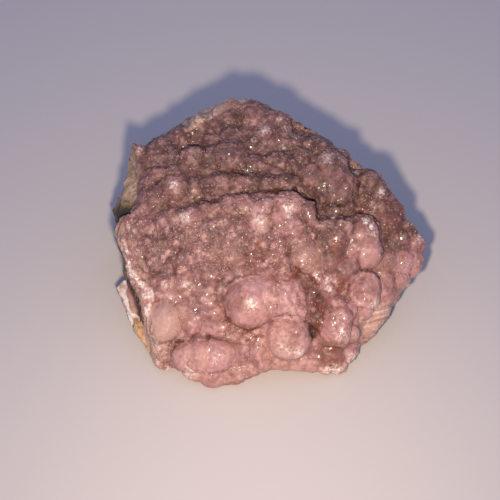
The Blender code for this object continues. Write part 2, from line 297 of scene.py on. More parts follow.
# Rounds of softening: to what a fold stands out from, and to what a whole lobe stands out from
ROUND_FOLD, ROUND_LOBE = 8, 60
HIGH_ABOVE = 60  # mm, from where the lobes are let down onto the solid part
PROUD = 0.1  # mm, how far every lobe stands out of it
DEEPEST = 1.5  # mm, the most that the skin is lifted to reach its lobe
BLOCK_DEPTH = 3  # mm, half the depth of a flat-faced body
UNEVEN_WIDTH, UNEVEN_HEIGHT = 3.0, 0.22  # mm, of the lobes' dents
SEAM_WIDTH, SEAM_DEPTH = 0.45, 0.3  # mm, of the sharp valley where two lobes meet
WANDER_WIDTH, WANDER = 1.6, 0.5  # mm, how the lines of clefts and ribs wander
STEP_SWELL, STEP_DROP, STEP_SINK = 1.6, 0.2, 0.7  # mm, over which a step swells, drops and sinks behind
# The widths of its fine relief in mm: crystals, coarser facets, grit, ridges and splinters
CRYSTAL_WIDTH, FACET_WIDTH, GRIT_WIDTH, RIDGE_WIDTH, SPLINTER_WIDTH = 1.3, 4.2, 0.9, 1.1, 2.0
FACET_HEIGHT, GRIT_HEIGHT = 0.42, 0.07  # mm
RIM_WIDTH = 0.55  # mm, of the glassy rims

# The tables that follow say what is where on the display face, across and up in mm. Lobes: radius in mm,
# from 0 (brown) to 1 (fresh pink), and for a few how far they stand out or, negative, sink in, in mm
LOBES = [
    # two grown together, and the round one under them
    (-4.4, -0.6, 5.8, 0.85, 0.6), (3, 0.4, 5.2, 0.9, -0.2), (-0.8, 0.8, 5.3, 0.85, 0.4),
    (4.8, -2, 3.4, 0.85), (3.8, -8.3, 5, 0.9, 0.2),
    # the long one at the bottom left and what joins it to its neighbour
    (-18.4, -12.6, 3.2, 0.85), (-16.8, -12.5, 3.5, 0.9), (-15, -12.3, 3.7, 0.95),
    (-13.2, -12.2, 3.8, 0.95), (-11.5, -12, 3.8, 0.9), (-9.7, -11.6, 3, 0.8), (-6, -11.2, 3.2, 0.6),
    (-2.4, -11.6, 3.2, 0.65), (-17.8, -15.8, 1.5, 0.95),
    # the smooth one at the left and small ones around it
    (-24.3, -5.7, 3.9, 1.0), (-23.4, -3.6, 2.8, 1.0), (-17, -4.8, 3.2, 0.6), (-27, 0.6, 2.1, 0.8),
    (-26.4, -2.6, 2, 0.9), (-29.7, 4.2, 2.0, 0.7), (-21.5, 0, 2.4, 0.6), (-24.3, 1.2, 2.2, 0.5),
    (-20.5, -9.6, 2.2, 0.4), (-22.9, -12.2, 1.9, 0.5), (-22.8, -14.6, 1.7, 0.5),
    (-25.2, -13.4, 1.4, 0.7), (-24.6, -9.8, 1.4, 0.8), (-25.3, -11.4, 1.2, 0.6),
    (-12.8, -2.4, 3.8, 0.55), (-11.6, -6.4, 3.6, 0.6), (-14.4, -8.2, 2.8, 0.6), (-8.4, -8, 2.4, 0.5),
    (-5.4, -9.2, 2.0, 0.45), (-2.4, -8.9, 2.0, 0.5), (-16.5, -0.8, 3, 0.5), (-19.4, -2.2, 2.2, 0.6),
    # the ledge along the foot
    (-16.2, -15.8, 2.2, 0.8), (-12.3, -16.6, 3.3, 0.75), (-7.5, -15.8, 2.9, 0.7),
    (-3.8, -14.4, 2.4, 0.7), (0.8, -13.2, 2.2, 0.75), (5.2, -14, 1.9, 0.7), (9, -13.6, 2.4, 0.65),
    (3, -13.6, 2.2, 0.7, 0.5), (7.1, -13.8, 2.2, 0.7, 0.5), (-1.6, -13.8, 2.3, 0.7, 0.4),
    (-5.6, -15.2, 2.6, 0.7, 0.4), (-10, -16.2, 3, 0.7, 0.4),
    # the foot at the right, and the column above it
    (13.2, -12.2, 3.8, 0.6), (16.7, -11.4, 2.8, 0.75), (12, -15.2, 1.6, 0.9), (15, -14.7, 2.1, 0.9),
    (18, -12.6, 1.5, 0.85), (14.2, -3.4, 3, 0.75), (13.8, -1, 2.8, 0.5), (11.4, -5.4, 2.2, 0.4),
    (17.8, -7.5, 2.0, 0.85), (10, -9.6, 2, 0.6), (17.2, -2.2, 2.2, 0.7),
    # the knob at the right, and those beside and above it
    (20.9, 3, 3.5, 0.55, 0.2), (20.8, 0.6, 3.4, 0.65, 0.2), (20.3, -2.2, 2.6, 0.75, 0.2),
    (16.5, 6.5, 3.1, 0.5), (20.9, 10.3, 4, 0.85, 0.3), (19.8, 14.1, 4.6, 0.55, 0.3),
    (13.4, 12.8, 5, 0.35), (17.4, 11.6, 4.4, 0.5), (11.4, 15.6, 2.6, 0.35), (15.6, 15.2, 3, 0.4),
    (7.8, 9, 4, 0.5, 0.4), (13, 8.7, 3.2, 0.45), (10.3, 4.6, 1.3, 0.6), (12.8, 2.6, 1.4, 0.7),
    (24.7, 1.6, 3.2, 0.6), (24, -2.5, 2.8, 0.8), (22.3, -5.6, 2.8, 0.75), (17.6, 9.6, 3, 0.55),
    (9.3, -1.8, 1.8, 0.2), (9.4, 1.8, 1.8, 0.2), (15.2, 2.4, 2, 0.2),
    # the pair that ends in a step at the middle of the crest
    (3.9, 19.8, 3.9, 0.5, 0.5), (3.6, 18, 4.2, 0.55, 0.5), (3.9, 16, 4.1, 0.5, 0.5),
    (4.4, 14.2, 3.5, 0.4, 0.4), (-2.3, 17.1, 2.4, 0.8), (-3.4, 19.4, 1.8, 0.8), (-0.8, 20.2, 2.2, 0.6),
    (1.5, 12.6, 3.8, 0.4), (5.6, 12.6, 3.4, 0.35), (-1.6, 13.6, 3.2, 0.4),
    # low ones over the middle
    (-7.4, 9.3, 3.6, 0.32), (-12.5, 10.3, 3.4, 0.35), (-6.4, 5, 2.6, 0.45), (-13, 5.5, 3.4, 0.35),
    (-19, 8.5, 3.6, 0.32), (-25, 7.5, 3.2, 0.3), (-18.5, 3.3, 2.2, 0.5), (-23, 3, 2.2, 0.45),
    (-14.5, 0.8, 3, 0.45), (-25, 12, 3.4, 0.3), (3, 7.6, 2.6, 0.3), (-2.6, 7.2, 2.6, 0.4),
    (-30, 10.2, 2.6, 0.5), (-31, 13.2, 2.4, 0.55), (-30.8, 6.8, 2.2, 0.6), (-19.6, 13.3, 3.6, 0.35),
    (-12.8, 14.8, 3.4, 0.32), (-7, 15.2, 3.4, 0.35), (-22.8, 16.2, 3, 0.35), (-27.6, 15.4, 3, 0.45),
    (-31, 16.4, 2.2, 0.5), (-17.4, 14.6, 2.6, 0.45), (-10, 17.3, 2.6, 0.3),
    # the crest, where the front of the crust steps down to the back
    (-17.6, 17.4, 2.7, 0.55), (-8.8, 20, 2.9, 0.4), (-12.2, 19.2, 2.4, 0.35), (-5.7, 20.6, 2.2, 0.5),
    (-14, 19.3, 2, 0.35), (-20.6, 18, 2, 0.45),
    # the first row behind the crest
    (-25, 21, 4.8, 0.4), (-20.8, 23.6, 3.9, 0.5), (-29, 18.6, 2.4, 0.4), (-16.2, 23.6, 3.6, 0.35),
    (-11.4, 25, 3, 0.35), (-7, 24.6, 2.6, 0.3), (-3.8, 25.7, 1.9, 0.25), (-0.6, 24.8, 2.8, 0.25),
    (2.9, 25, 2.3, 0.2), (5.4, 25, 2.2, 0.2), (9.8, 26, 4.2, 0.42), (-26.3, 25.2, 2.2, 0.35),
    (-24.4, 27.2, 2.2, 0.4), (-21.2, 27.6, 2, 0.35), (14, 25.2, 5.3, 0.45), (13.6, 19.4, 1.9, 0.1),
    (16.6, 20, 2.2, 0.1), (10.6, 21.6, 2.4, 0.15), (7, 22.8, 2, 0.15),
    # the second row
    (-17, 30.6, 3.3, 0.35), (-9, 30.4, 5.2, 0.3), (-12.8, 31, 3, 0.25), (-1.6, 29.4, 2, 0.25),
    (1.4, 29.6, 2.8, 0.2), (4.6, 29.3, 2, 0.2), (-21.6, 31, 3, 0.25), (-26, 30.6, 3.4, 0.3),
    (-28.8, 28.6, 2.2, 0.3), (13.4, 28.4, 4.8, 0.35, 0.2), (7.4, 30.4, 2.6, 0.2), (-4, 29, 3, 0.25),
    (-14.5, 28, 2.6, 0.25),
    # the rows up to the back edge
    (-19.6, 35, 3.4, 0.4), (-24, 33.2, 2.6, 0.3), (-15, 36.6, 4, 0.35), (-9.4, 38, 4.6, 0.3),
    (-3.4, 39, 5.2, 0.25), (-8, 41, 3.2, 0.3), (-4, 41.4, 3.4, 0.3), (1.2, 38.2, 4, 0.3),
    (2, 34, 4.4, 0.25), (5.4, 34, 3.6, 0.25), (-8, 35.2, 4, 0.25), (9.2, 33.4, 3.4, 0.2),
    (12, 32, 3.4, 0.25), (15.2, 30.4, 3, 0.2), (-29.4, 32.8, 1.7, 0.6), (-3, 34, 4.4, 0.2),
    (-0.4, 36.6, 2.4, 0.35), (3.6, 37.6, 2.2, 0.35), (-13, 34.4, 2.6, 0.3),
    # the slope at the right
    (22, 25, 3.8, 0.15), (24.4, 22.8, 3, 0.15), (23.6, 20.4, 3.6, 0.1), (20.3, 22.2, 3, 0.1),
    (27.5, 19.4, 3.8, 0.1), (25.8, 16.4, 3.8, 0.1), (30, 16, 3.8, 0.2), (27.6, 12.6, 4.2, 0.25),
    (32, 12.6, 2.8, 0.5), (31, 9, 3.2, 0.65), (28.4, 8.4, 3.8, 0.6), (25.2, 8.6, 3, 0.6),
    (28.2, 4.6, 3, 0.7), (24.8, 5, 2.4, 0.6), (18.8, 27.8, 1.8, 0.15), (25.6, 25.2, 2.2, 0.2),
    (31.8, 6.6, 2, 0.7),
]
# Flat-faced bodies: across, up, half width and half height in mm, turn in degrees, how far the face
# looks to the right and up, rounding and how far it stands out in mm, from 0 (brown) to 1 (fresh pink)
BLOCKS = [
    (14.6, -5.8, 3.2, 4.3, -8, 0.1, 0.1, 0.3, 1.2, 0.65),
    (18.2, -9.4, 1.4, 4.6, -4, 0.7, -0.1, 0.4, 0.1, 0.6),
    (8.7, 18.6, 1.6, 2.5, 14, 0.3, 0.1, 0.2, 0.4, 0.2),
    (-1.8, 16.4, 1.5, 1.6, 24, -0.1, -0.2, 0.5, 0.5, 0.95),
    (-23.9, -5.9, 4.3, 3.3, 10, -0.2, 0, 1.3, 0.5, 1),
    (-22.9, -2.9, 2.4, 1.8, -34, 0.1, 0.3, 0.4, 0.5, 0.9),
    (-24.8, -13.2, 1.1, 1.9, 5, -0.2, 0, 0.3, 0.4, 0.9),
    (-23, -10.4, 1.2, 0.7, 0, 0, 0.3, 0.3, 0.3, 0.8),
    (16.8, 7.2, 2.8, 2.2, 28, 0.1, 0.2, 0.8, 0.2, 0.45),
    (14.2, 5, 1.8, 1.4, -20, -0.2, 0.1, 0.5, 0.1, 0.5),
    (25.6, 3.6, 2, 2.6, -24, 0.4, 0, 0.4, 0.1, 0.65),
    (23.4, -4.2, 1.6, 3, -28, 0.3, 0, 0.4, 0.2, 0.8),
    (29.6, 8.2, 2.4, 2.6, -16, 0.2, 0.1, 0.5, 0.1, 0.7),
    (15.2, 23.2, 2.8, 2.6, 10, 0.15, -0.1, 0.6, 0.2, 0.35),
    (11, 23.8, 2, 2.4, -14, -0.2, 0, 0.6, 0.15, 0.25),
    (-8.6, 9.4, 2.6, 2, 12, 0, 0.2, 0.5, 0.1, 0.4),
]
# Lobes with sharp outlines: across, up and radius of the outline in mm, how sharp
SHARP = [
    (-6.6, -2.5, 5.2, 1), (4.4, -8.3, 5.2, 1), (-17.5, -12, 5, 0.9), (-12.5, -12, 5, 0.9),
    (20.9, 1.4, 4.8, 1), (15, -6.6, 4.8, 0.9), (20.2, 12.6, 6, 0.8), (3.8, 18, 5, 0.7),
    (7.8, 9, 4, 0.6), (13.6, 26.6, 7, 0.6), (-20.8, 23.8, 4.2, 0.5), (-17, 30.6, 3.6, 0.5),
    (-9, 30.6, 5.4, 0.5), (3.4, 0.6, 5.6, 0.7),
]
# Where low lobes hardly show under a fine-grained plain: across, up, radius in mm, how much
CALM = [
    (-27, -4.6, 3.4, 0.85), (-23.6, -1.4, 2.4, 0.6), (-22, 12, 9, 0.75), (-13, 10, 8, 0.75),
    (-24, 6, 6, 0.6), (-7, 12, 6, 0.6), (-14, 4, 5, 0.5), (-3, 38, 8, 0.6),
]
# Edges where one body overlaps the next behind it: the height of the step in mm, then across and up
STEPS = [
    (0.7, [(-21.8, 30), (-20.8, 31.8), (-18.8, 33.2), (-16.6, 33.8), (-14.5, 33.2), (-13.5, 31.8)]),
    (0.7, [(-14.3, 33), (-11.7, 34.2), (-8.5, 34.2), (-6.1, 33.2), (-4.4, 31.8)]),
    (0.6, [(-4.2, 30), (-1.8, 30.1), (0.2, 29.5), (2.2, 28.4), (4.4, 27.6)]),
    (0.5, [(-28.8, 27.6), (-26.4, 29), (-24, 29), (-21.4, 28.2), (-19.6, 27.4)]),
    (0.6, [(-25, 24.4), (-24, 26.4), (-21.6, 27.2), (-19.2, 26.6), (-17.6, 24.8)]),
    (0.5, [(-14.4, 25.4), (-12.6, 27), (-10.4, 27.2), (-8.9, 25.8)]),
    (0.5, [(-8.6, 25.6), (-7, 26.8), (-5.2, 26.6), (-3.4, 25.4)]),
    (0.5, [(-2.6, 25.6), (0, 26.9), (2.6, 26.4), (4.6, 25)]),
    (0.5, [(-13.6, 21.2), (-12, 22.6), (-9.8, 22.9), (-8, 21.9)]),
    (0.6, [(-21.4, 18), (-19.6, 20), (-17.4, 20.5), (-15.4, 19.3)]),
    (0.6, [(7.9, 26.5), (8.3, 29.6), (10.3, 31.6), (14.3, 32.6), (17, 31.2), (18.2, 28.5), (18.4, 24.9),
        (17, 21.3)]),
    (0.6, [(18.9, 25.2), (20.4, 27.8), (23, 28.2), (25, 26.4)]),
    (0.5, [(-10.5, -1), (-10.2, 2), (-8, 4.4), (-5, 5.4), (-1.6, 5.2)]),
    (0.8, [(-10.6, -1), (-9.8, -4), (-7.6, -6), (-4.4, -6.6), (-1.4, -5.8)]),
    (0.6, [(-0.4, -6.4), (0.4, -4), (3, -3.4), (6, -3.6), (8.4, -5.6), (9.2, -8.4), (8.2, -11.4),
        (5.4, -13)]),
    (0.5, [(-21.6, -12), (-20.6, -9.6), (-17.6, -8.4), (-13, -8.2), (-9.6, -9)]),
    (0.5, [(17, 3), (17.4, 5), (19.4, 6.2), (21.8, 6.2), (23.6, 4.6), (24.2, 2), (23.4, -0.8)]),
    (0.4, [(17.6, 17.6), (20, 18.7), (22.4, 17.8), (23.8, 15), (24.4, 11), (24, 8)]),
    (0.5, [(-26.4, -9.2), (-24.6, -9.9), (-21.6, -9.6), (-19.6, -7.6)]),
]
# Steps in the outline of the crust: across, up, radius and depth in mm
NOTCHES = [
    (6.6, 38, 2.6, 1.3), (18.8, 29.6, 2, 1.2), (9.6, 37, 2, 0.6), (26.8, 24.4, 1.6, 0.6),
    (13.6, 34.6, 1.4, 0.5), (-19.4, 39.6, 2, 0.8), (31, 18.8, 1.4, 0.4),
]
# The crest across the display face, where the front steps down to the back: across and up, in mm
CREST = [
    (-40, 17), (-31, 17), (-24, 18.5), (-16, 20.5), (-9, 22.6), (-3, 22.5), (4, 24.4), (8, 21.5),
    (10.5, 18), (20, 18.6), (23.4, 14), (24.5, 8), (27, 3), (40, -2),
]
# Deep clefts behind the ledges, carved in and painted dark with shade: width and depth in mm, then across and
# up
CLEFTS = [
    (0.65, 1.3, [(-21, 19), (-18, 20.3), (-15, 21.6), (-13, 21.3), (-9, 22.9), (-5, 23.3), (2, 23.8),
        (4.6, 24.4), (7.4, 22.2), (9.8, 21.2), (10.4, 17.8), (14.5, 17.4), (17, 18.2), (20, 18.8),
        (22.6, 17.4), (23.7, 15.4)]),
    (0.6, 0.8, [(-12.5, 27.5), (-8, 28), (-4, 27), (2, 27.2), (4.8, 27.8), (8.4, 24.9)]),
    (0.6, 0.5, [(-27, 24), (-24.4, 25.8), (-20.6, 26.2), (-17.6, 25.4)]),
    (0.6, 0.5, [(-20.6, 32.6), (-17, 34.1), (-13.2, 33.4), (-8, 33.4), (-5, 31.8)]),
    (0.6, 0.7, [(9.2, 24.2), (11, 20.6), (15, 20.2), (19, 22), (19.6, 26)]),
    (0.5, 0.5, [(-9.6, -3.6), (-8.6, -6), (-5.4, -6.6), (-1.4, -5.6), (0.6, -4.6)]),
    (1.7, 0.8, [(6.6, 5.4), (9, 2.8), (10.4, -1), (10, -4), (9.4, -7.4)]),
    (0.5, 0.35, [(-20.4, -9.2), (-16, -8.6), (-11.5, -8.2), (-8, -9.2)]),
]
# Broken edges: a point, the way that the break looks, and how cream it is
BROKEN = [
    ((-33, 1, 13), (-0.98, -0.19, -0.05), 0.8),
    ((-33.6, 18, 18), (-0.965, 0.055, 0.255), 0.1),
    ((-18.5, 27.4, 14), (-0.5, 0.85, -0.16), 0.5),
    ((13.4, 17.8, 12), (0.6, 0.76, -0.25), 0.6),
    ((-6, 33.8, 29), (0.04, 0.97, -0.2), 0.6),
    ((28, -7.6, 5), (0.75, -0.52, -0.4), 1.0),
    ((0, -14, 1.2), (0, 0.42, -0.91), 0.5),
    ((-27, -15.5, 4), (-0.9, -0.42, 0.1), 0.7),
]
# The tan edge at the back left: its line, where it is worn, as width and strength, and how it is moved
# out, as width and distance, in mm
WORN_LINE = [(-18, 38.4), (-15, 40.2), (-12, 42.1), (-9, 43.4), (-6.6, 43.9)]
WORN_EDGE = [(2.0, 2.4, WORN_LINE)]
EDGE_MOVED_OUT = [(4.2, 0.9, WORN_LINE[:-1])]
# The brown crack beside the white calcite: width and darkness, then its line
STAINED_CRACK = [(0.9, 1.0, [(-31.6, 5), (-30.6, 3.1), (-29.5, 0.4), (-28.6, -2.4), (-28.2, -5)])]
# Where the fibres lie open in cream and pink bands: across, up, radius in mm, how clearly
BANDED = [(24.6, -3.2, 2.4, 0.9), (22, -6.6, 2, 0.7)]
# Iron stain in the clefts and on the foot: across, up, radius in mm, strength
RUST = [
    (1, 6.6, 3, 0.8), (5.5, 6, 2.6, 0.9), (8.8, 3, 3.2, 1), (10.4, -0.5, 3, 1), (10.4, -4, 2.6, 1),
    (9.6, -7, 1.8, 0.8), (15, 3, 2.8, 1), (12, 1, 2, 0.9), (-4.5, -7.4, 3, 0.9), (-9, -4.4, 1.6, 0.7),
    (13, -12.2, 3.6, 1), (4.4, -8.4, 2, 0.4), (-3, 10, 5, 0.6), (3.5, 11, 3.5, 0.5), (9.5, 9.5, 3, 0.4),
    (-28.5, -1, 1.5, 0.8), (-29.8, 1.8, 1.2, 0.8), (-27.5, -8, 2.2, 0.7), (-7, -9.6, 2.6, 0.5),
    (-16, -9, 3.5, 0.3), (6, 14, 2, 0.4), (-9.6, 17.6, 2.4, 0.4), (24, 6, 2.4, 0.3),
    (-20.5, -9.8, 2, 0.6), (14, 10.5, 5, 0.55), (20, 19, 3, 0.5), (26, 17, 6, 0.6), (23, 22, 4, 0.5),
    (1, 36, 5, 0.25),
]
# Paler calcite and painted light: tips that are rubbed or coarser, the rims of the glassy lobes, painted pale
# as light through them, and painted highlights where the lobes face the lamp
PALE_AND_HIGHLIGHTS = [
    (-29.6, 5.6, 1.6, 0.8), (-28, 3, 1.4, 0.8), (-27.2, 0.8, 1.4, 0.8), (-26.8, -1.8, 1.3, 0.7),
    (-26.4, -10.2, 1.2, 0.9), (-25, -13.6, 1.4, 0.9), (-24.4, -11, 1, 0.8), (-22.4, -15.4, 1.2, 0.8),
    (12.4, 4.2, 1.4, 0.9), (10, 5.4, 1.2, 0.8), (-4, -0.8, 1.9, 0.85), (20.8, 16.9, 1, 0.9),
    (21.9, 15.7, 1.1, 0.9), (22.4, 14.4, 1, 0.8), (4, 19.9, 1.8, 0.9), (4.2, 18, 1, 0.8),
    (-21, 25.1, 1.5, 0.9), (-18.6, 18, 2.2, 0.8), (-18.5, 3.3, 1.2, 1), (-23, 3.3, 1.1, 0.8),
    (-2.4, 17.4, 2.2, 0.7), (-5.2, 19.6, 1, 0.8), (15.6, -7.6, 2.1, 0.5), (16.4, -5.4, 1.2, 0.35),
    (2.4, -9.6, 1.5, 0.7), (3.6, -10.9, 1.2, 0.8), (5.8, -10.8, 1.7, 0.7), (7, -9.6, 0.9, 0.5),
    (-17.6, -13.2, 1.2, 0.45), (-12.6, -12.6, 1.3, 0.4), (-15, -11, 1, 0.4), (-27, 1, 2, 0.7),
    (-26.6, -3, 1.6, 0.6), (-30.5, 3.6, 2, 0.7), (13.6, -15.6, 2.6, 0.8), (17.8, -12.6, 1.6, 0.7),
    (-17.6, -16, 1.8, 0.8), (-25.2, -13.4, 1.4, 0.7), (-24.8, -9.9, 1.4, 0.6), (12.6, 31, 1.9, 0.7),
    (-1.2, 37.6, 2, 0.75), (3, 33.6, 1, 0.7), (2.2, 40, 1, 0.8), (-3.6, 35.2, 0.9, 0.7),
    (3.6, 37.6, 1.4, 0.6), (-17, 31.8, 1.4, 0.4), (24.6, 23.5, 1.4, 0.8), (6, 36.2, 1, 0.8),
    (12.6, 2.4, 1.2, 0.9), (10.4, 4.4, 1, 0.8), (23.6, -2, 2.6, 0.7), (19.8, -4.6, 1, 0.9),
    (-31.9, 11, 1.6, 0.8), (-31.3, 7.4, 1.6, 0.8), (-31.4, 15.8, 1.5, 0.6), (-29, 33.2, 1, 0.7),
    (33.4, 13.6, 1.3, 0.6), (31.6, 17, 1, 0.6), (-14.6, -2.6, 0.9, 0.6), (-16, -4.2, 0.9, 0.6),
    (-21.6, 0.6, 0.8, 0.7), (-6.5, 5.4, 0.9, 0.6), (-8.6, 13.6, 0.8, 0.5), (16.6, 30.2, 0.8, 0.6),
    (19, 28, 0.8, 0.6),
]
# Bare peach calcite, without its crystal skin: across, up, radius in mm, how much
BARE = [(-23.9, -5.6, 4.6, 1), (-1.8, 16.2, 1.9, 0.9), (7.8, 9.2, 3.4, 0.5)]
# Where the crystal skin is finer: across, up, radius in mm, how smooth
SMOOTH = [
    (-23.9, -5.6, 4.6, 1), (-1.8, 16.2, 1.9, 0.9), (8.7, 18.6, 2.6, 0.95), (-2.6, 17.2, 2.2, 0.7),
    (20.6, 2.4, 3.4, 0.8), (16.5, 6.5, 2.8, 0.9), (20.4, 14.4, 3.6, 0.6), (-27, 0.6, 2.2, 0.7),
    (-26.4, -2.6, 2, 0.8), (4.4, -8.3, 4.4, 0.5), (-4.5, -0.5, 5.5, 0.4), (14.8, -6.9, 3.4, 0.5),
    (-15, -12.3, 4, 0.5), (22.5, -4, 4, 0.6), (12.8, 25.6, 5.4, 0.75), (14, 11, 5, 0.6),
    (8.4, 9, 3.4, 0.6), (28, 5, 5, 0.6), (30.4, 9.6, 3.6, 0.5), (13, -12.4, 3.2, 0.9),
    (21.2, 10.2, 3.9, 0.9), (-13, -3, 3.4, 0.3), (3.8, -14, 5, 0.4), (-10, -16, 4, 0.4),
    (-11.5, -12, 4, 0.5),
]
# Where the skin stays coarse on a fresh lobe: across, up, radius in mm, how much
COARSE = [
    (3, 0.6, 5, 1), (3.8, -8.4, 3.2, 0.9), (-15, -12.3, 5, 0.4), (14, -5.6, 4.4, 0.3),
    (20.6, 2.4, 2.4, 0.5), (3.8, 17.6, 4, 0.7), (-12, -12, 3, 0.5), (8, -14, 5, 0.3),
]
# Coarse crystals drawn out into ridges: across, up, radius and height in mm, the way they run in degrees
RIDGED = [
    (3.4, 0.6, 5, 0.62, -58), (-15, -12.3, 5.4, 0.35, 72), (14.6, -5.6, 4.4, 0.2, -50),
    (3.8, 17.4, 4.4, 0.4, -12), (4.2, -8.4, 4, 0.25, 60), (-4.8, -0.8, 5.6, 0.16, -35),
    (20.8, 1.4, 3.6, 0.2, 80), (-9, -15.6, 5, 0.25, 40), (8, 8.8, 3.6, 0.3, 20),
]
# Ribs of coarse cream calcite along the left edge: width and height in mm, then across and up
RIBS = [
    (0.9, 0.7, [(-32.1, 12.8), (-31.7, 9.4), (-30.6, 6.1), (-28.3, 3.8), (-26.1, 2), (-25.5, -0.3),
        (-27, -2.2), (-27.6, -4.4)]),
    (0.7, 0.5, [(-25, -9.6), (-26, -11), (-25, -12.8), (-25.4, -15)]),
    (0.7, 0.4, [(10.6, -15.4), (13, -16), (15.4, -15.6), (17.4, -13.8)]),
]
# Fresher or browner places on single lobes: across, up, radius in mm, change
TINTS = [
    (-8.4, 0.6, 3.6, -0.3), (-1.6, -1.8, 3, 0.15), (4.4, -8.4, 2.2, -0.2), (2.4, -8, 1.8, 0.2),
    (16.5, 6.4, 2.6, -0.2), (13, 12.6, 4.4, -0.3), (-24, 11, 7, -0.13), (-3, 12.4, 4.5, -0.1),
    (13, -12.4, 3.4, -0.2), (31, 6.6, 4, 0.38), (32.4, 12.6, 2.4, 0.2), (-1, 38.6, 6, 0.15),
    (-8, 24.6, 4, 0.15), (-20.5, 1.6, 3, 0.2), (23.6, -2, 3, 0.25), (11.6, -3, 2.8, -0.35),
    (19.4, 17, 2.6, -0.3), (5.6, -6.3, 1.9, -0.3), (4, 20.4, 2, 0.15), (20.6, 11, 3.4, 0.12),
]
# Glassy rims, painted as pale rings that stand in for light shining through their edges: across, up and
# radius in mm
RIMS = [(4.1, -8.2, 4.2), (20.9, 2.2, 3.3), (-15.2, -12.2, 3.6), (20.4, 14.4, 3.4)]


def on_display(places):
    """Across and up on the display face, in mm, for corners in mm."""
    return places[:, 0], places @ UP


def turned(degrees):
    """A direction on the display face, turned that much from across towards up."""
    return math.cos(math.radians(degrees)) * ACROSS + math.sin(math.radians(degrees)) * UP


def spread(across, up, spots, soft):
    """How strongly a table of round spots covers each corner: less and less over soft times the radius."""
    total = np.zeros(len(across))
    for x, y, radius, strength in spots:
        away = np.hypot(across - x, up - y) / radius
        total = np.maximum(total, strength * np.clip((1.15 - away) / soft, 0, 1))
    return total


def nearest_on(across, up, start, end):
    """For each corner: the nearest place on a straight stretch, as its share, and how far it is in mm."""
    (x0, y0), (x1, y1) = start, end
    length = math.hypot(x1 - x0, y1 - y0)
    share = np.clip(((across - x0) * (x1 - x0) + (up - y0) * (y1 - y0)) / length ** 2, 0, 1)
    return share, np.hypot(across - x0 - share * (x1 - x0), up - y0 - share * (y1 - y0))


def beside_lines(across, up, lines):
    """How much of each line's depth, height or strength reaches each corner: all of it on the line."""
    total = np.zeros(len(across))
    for width, strength, line in lines:
        for start, end in zip(line, line[1:]):
            away = nearest_on(across, up, start, end)[1] / width
            total = np.maximum(total, strength * np.clip(1 - away ** 2, 0, 1))
    return total


def steps_at(across, up):
    """For each corner: how far it swells or sinks beside a step in mm, and how near it lies to the step's
    line, where shade is painted, and to its lip, which is painted lighter.
    """
    move, line_here, lip_here = (np.zeros(len(across)) for _ in range(3))
    for height, line in STEPS:
        nearest, behind_line, fade = np.full(len(across), 99.0), np.zeros(len(across)), np.ones(len(across))
        for at, (start, end) in enumerate(zip(line, line[1:])):
            share, away = nearest_on(across, up, start, end)
            (x0, y0), (x1, y1) = start, end
            side = ((x1 - x0) * (up - y0) - (y1 - y0) * (across - x0)) / math.hypot(x1 - x0, y1 - y0)
            closer = away < nearest
            nearest = np.where(closer, away, nearest)
            behind_line = np.where(closer, side, behind_line)
            # the step runs out towards both ends of its line
            share = (at + share) / (len(line) - 1)
            fade = np.where(closer, np.clip(5 * np.minimum(share, 1 - share), 0, 1), fade)
        # it swells gently up to its lip, and drops steeply behind it
        swell = np.clip(-behind_line / STEP_DROP + 0.5, 0, 1) * np.exp(-nearest / STEP_SWELL)
        sink = np.clip(behind_line / STEP_DROP + 0.5, 0, 1) * np.exp(-nearest / STEP_SINK)
        change = fade * height * (0.45 * swell - 0.75 * sink)
        move = np.where(np.abs(change) > np.abs(move), change, move)
        # the line just behind the lip, where shade is painted, and the lip, which is painted lighter
        at_line = np.exp(-((behind_line - 0.2) / 0.28) ** 2) * (nearest < 1)
        at_lip = np.exp(-((behind_line + 0.6) / 0.45) ** 2) * (nearest < 1.6)
        line_here = np.maximum(line_here, fade * at_line)
        lip_here = np.maximum(lip_here, fade * at_lip)
    return move, line_here, lip_here


def noise_at(places, width, seed, octaves=2):
    """Smooth noise of that width in mm at each corner, about -1 to 1."""
    shift = Vector((seed, 0, 0))
    return np.array([noise.fractal(Vector(place) / width + shift, 0.9, 2.0, octaves) for place in places])


def crystals_at(places, width, steep, seed=0.0):
    """Relief of closely grown rhombs of that width in mm, with their corners out, from about -1 to 0."""
    shift = Vector((seed, 0, 0))
    seats = np.array([
        [tuple(seat) for seat in noise.voronoi(Vector(place) / width + shift)[1]] for place in places
    ]) - np.array(shift)
    away = places[:, None, :] / width - seats
    best = np.full(len(places), -9.0)
    for near in range(4):
        # each crystal is turned its own way, which its place settles through any large uneven numbers
        seat = seats[:, near] + seed
        ways = ((12.9, 78.2, 37.7), (39.3, 11.1, 83.1), (73.1, 52.2, 9.2))
        turn = np.stack([np.sin(seat @ way) for way in ways], axis=1)
        first = turn / np.linalg.norm(turn, axis=1)[:, None]
        second = np.cross(first, np.roll(turn, 1, axis=1) + 0.3)
        second /= np.linalg.norm(second, axis=1)[:, None]
        third = np.cross(first, second)
        sides = (first, second, third)
        reach = np.max([np.abs((away[:, near] * side).sum(axis=1)) for side in sides], axis=0)
        best = np.maximum(best, 0.35 * turn[:, 0] - steep * reach)
    return best


def to_ball(places, pole, lobe):
    """How far each corner is outside a lobe's ball in mm, and the way out of it."""
    _, _, radius, _, *stands_out = lobe
    from_centre = places - (pole - OUT * (radius - PROUD - sum(stands_out)))
    away = np.linalg.norm(from_centre, axis=1)
    return away - radius, from_centre / away[:, None]


